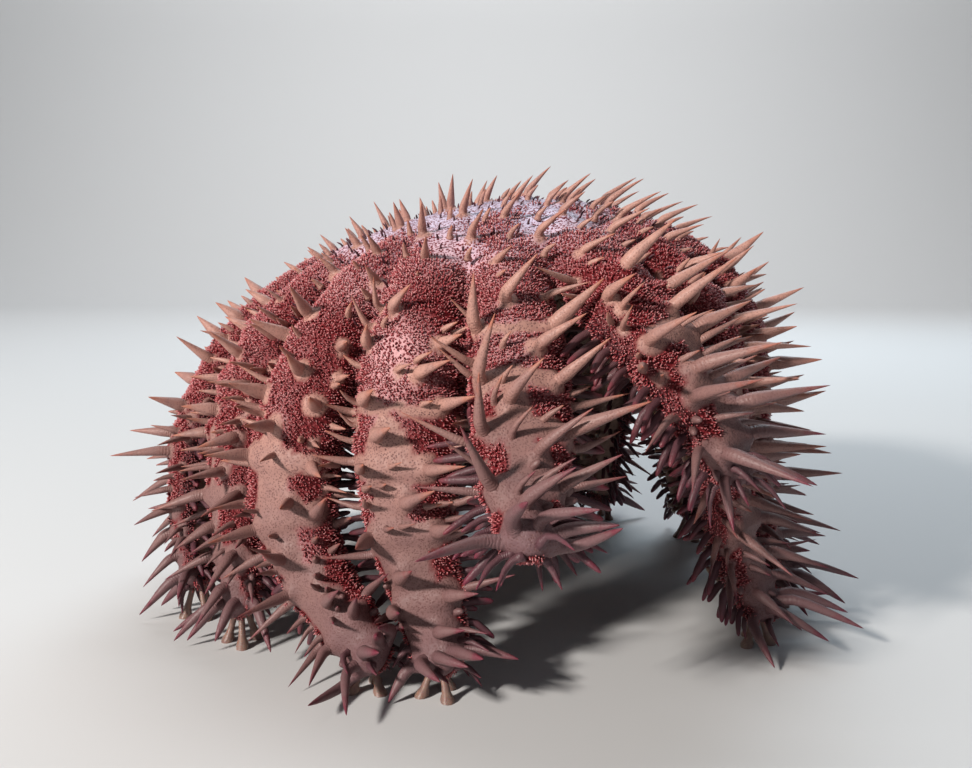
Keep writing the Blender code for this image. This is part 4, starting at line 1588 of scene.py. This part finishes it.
# %% Feet under the arms' ends
FOOT_BACK = 0.0065
FOOT_PLACES = ((0.0042, 0.0), (-0.0022, 0.0042), (-0.0022, -0.0042))
FOOT_SIDES = 10
FOOT_PROFILE = ((0.0, 1.0), (0.35, 0.8), (0.65, 0.78), (0.82, 1.0), (0.93, 1.55), (1.0, 1.5))
FOOT_NECK = 0.0012


def floor_feet(line):
    """Rings of the three feet under a resting arm's end, each down to a flat on the floor."""
    ridge, along, _, up = on_line(line, line.length - FOOT_BACK)
    top = ridge - up * sizes_at(line, line.length - FOOT_BACK)[1] / 2
    heading = Vector((along.x, along.y, 0.0)).normalized()
    beam = Vector((-heading.y, heading.x, 0.0))
    turns = [math.tau * i / FOOT_SIDES for i in range(FOOT_SIDES)]
    for ahead, aside in FOOT_PLACES:
        flat = Vector((top.x, top.y, 0.0)) + heading * ahead + beam * aside
        rings = []
        for share, wide in FOOT_PROFILE:
            middle = top.lerp(flat, share)
            rings.append([middle + (heading * math.cos(t) + beam * math.sin(t))
                          * wide * FOOT_NECK for t in turns])
        yield rings


feet = bmesh.new()
for line, pose in zip(lines, POSES):
    if not pose.reach:
        for rings in floor_feet(line):
            loft(feet, rings)
floor_contact = object_from("floor_feet", feet)
activate(floor_contact)
bpy.ops.object.shade_smooth_by_angle(angle=math.radians(50))
floor_contact.data.materials.append(foot_look)
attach(floor_contact, "root")
print("feet on the floor", len(floor_contact.data.polygons), "faces")

# %% [markdown]
# ## Gill fingers
# Papulae stand close together over all the rough skin, each less than a millimetre across. The
# remeshed skin has its vertices spread evenly, so a finger may be rooted at each vertex and at
# the middle of each face and edge, shifted a little at random, wherever the skin is rough. A
# particle system would do the same, but its result has to be made a mesh for the export. The
# fingers are many, so each is a three-sided rod, and they are joined in eight pieces.

# %% Roots of the gill fingers
GILL_RADIUS = 0.00025
GILL_LENGTHS = (0.00050, 0.0011)
GILL_SHIFT = 0.00028
GILL_PIECES = 8
GILL_LIMIT = 108000
ROUGH_TAN = (0.25, 0.6)
ROUGH_RED = (0.10, 0.36)
skin_mesh = skin.data
normals = np.array([v.normal[:] for v in skin_mesh.vertices])
quads = np.array([list(p.vertices) for p in skin_mesh.polygons if len(p.vertices) == 4])
edges = np.array([list(e.vertices) for e in skin_mesh.edges])


def at_all(values):
    """Values at the vertices, at the middles of the faces and at the middles of the edges."""
    return np.concatenate([values, values[quads].mean(1), values[edges].mean(1)])


spread = {key: at_all(skin_masks[key]) for key in ("tan", "red", "under")}
spot = at_all(skin_points)
facing = unit(at_all(normals))
first = np.concatenate([skin_places, skin_places[quads[:, 0]], skin_places[edges[:, 0]]])
chance = 1 - smooth(*ROUGH_TAN, spread["tan"])
chance *= 1 - spread["under"]
chance *= smooth(*ROUGH_RED, spread["red"])
print("fingers wanted", int(chance.sum()))
keep = rng.random(len(spot)) < chance * min(1.0, GILL_LIMIT / chance.sum())
spot, facing, first = spot[keep], facing[keep], first[keep]
red = spread["red"][keep]
count = len(spot)
print("fingers kept", count)

# %% Grow the gill fingers
GILL_STRAY = 0.38
GILL_DROOP = 0.15
spot = spot + unit(rng.normal(size=(count, 3))) * GILL_SHIFT * rng.random((count, 1))
way = unit(facing + GILL_STRAY * rng.normal(size=(count, 3)) + np.array((0, 0, -GILL_DROOP)))
length = GILL_LENGTHS[0] + (GILL_LENGTHS[1] - GILL_LENGTHS[0]) * np.clip(red + 0.2, 0, 1)
length *= rng.uniform(0.7, 1.3, count)
length *= 1 - 0.55 * smooth(0.02, 0.45, spread["tan"][keep])
radius = GILL_RADIUS * rng.uniform(0.8, 1.2, count)
vary = np.clip(rng.random(count) ** 1.5 * (1.30 - 0.75 * red), 0, 1)
gill_look = gill_material()
sector = ((first[:, 0] * GILL_PIECES) // ARM_COUNT).astype(int)
for n in range(GILL_PIECES):
    own = sector == n
    bent = bend(gill_form, spot[own], facing[own], way[own], length[own], radius[own], 0.0)
    roots = []
    for place, point in zip(first[own], spot[own]):
        if place[3] > -0.2:
            roots.append(root_uv((int(place[0]), place[1], place[2])))
        else:
            flat = Vector(point) - CROWN
            turn = math.degrees(math.atan2(flat.x, -flat.y))
            roots.append(root_uv((turn, place[1], None)))
    joined_piece(f"gill_fingers_{n + 1}", gill_form, bent, {"vary": vary[own]}, roots,
                 gill_look, (PATCH, 2 * PATCH))

# %% [markdown]
# ## Floor, backdrop and light
# A plain pale sheet runs from under the animal up behind it, as in a studio. It is stage only
# and no part of the model. A strong small light from the upper left gives the photograph's hard
# shadows, a weak one fills the right side, a bluish one grazes the crown from behind, and one
# more brightens the backdrop alone.

# %% Floor
scene.view_settings.view_transform = "Standard"
FLOOR_HALF = 2.2
FLOOR_BACK = 1.6
SWEEP_RADIUS = 0.7
SWEEP_STEPS = 24
FLOOR_FRONT = -2.5
WALL_TOP = 3.0
PAPER = (0.60, 0.61, 0.62, 1)
profile = [(FLOOR_FRONT, 0.0)]
for i in range(SWEEP_STEPS + 1):
    turn = math.pi / 2 * i / SWEEP_STEPS
    profile.append((FLOOR_BACK + SWEEP_RADIUS * math.sin(turn),
                    SWEEP_RADIUS * (1 - math.cos(turn))))
profile.append((FLOOR_BACK + SWEEP_RADIUS, WALL_TOP))
sheet = bmesh.new()
rows = [[sheet.verts.new((x, y, z)) for x in (-FLOOR_HALF, FLOOR_HALF)] for y, z in profile]
for low, high in zip(rows, rows[1:]):
    sheet.faces.new((low[0], low[1], high[1], high[0]))
floor = object_from("floor_sweep", sheet)
activate(floor)
bpy.ops.object.shade_smooth()
paper, tree, shader = start_material("pale_floor")
shader.inputs["Base Color"].default_value = PAPER
shader.inputs["Roughness"].default_value = 0.85
floor.data.materials.append(paper)
print("floor faces", len(floor.data.polygons))

# %% Lights
ROOM_COLOUR = (0.80, 0.87, 0.95, 1)
ROOM_STRENGTH = 0.11
world = bpy.data.worlds.new("soft_room")
world.use_nodes = True
world.node_tree.nodes["Background"].inputs[0].default_value = ROOM_COLOUR
world.node_tree.nodes["Background"].inputs[1].default_value = ROOM_STRENGTH
scene.world = world


def soft_light(name, place, size, power, colour):
    """A square light of some size that faces the middle of the animal."""
    data = bpy.data.lights.new(name, "AREA")
    data.size = size
    data.energy = power
    data.color = colour
    lamp = bpy.data.objects.new(name, data)
    lamp.location = place
    aim = CROWN - Vector((0, 0, 0.06)) - Vector(place)
    lamp.rotation_euler = aim.to_track_quat("-Z", "Y").to_euler()
    scene.collection.objects.link(lamp)
    return lamp


soft_light("key", (-0.80, -0.80, 0.62), 0.11, 22, (1.0, 0.93, 0.86))
soft_light("fill", (0.9, -0.6, 0.5), 0.8, 0.35, (0.85, 0.92, 1.0))
soft_light("rim", (0.35, 0.9, 0.9), 0.6, 5.0, (0.70, 0.88, 1.0))
wall = soft_light("wall", (0.0, 1.0, 2.0), 1.5, 40, (1.0, 1.0, 1.0))
wall.rotation_euler = (Vector((0, 2.3, 0.6)) - wall.location).to_track_quat("-Z", "Y").to_euler()
print("lights", sum(obj.type == "LIGHT" for obj in scene.objects))
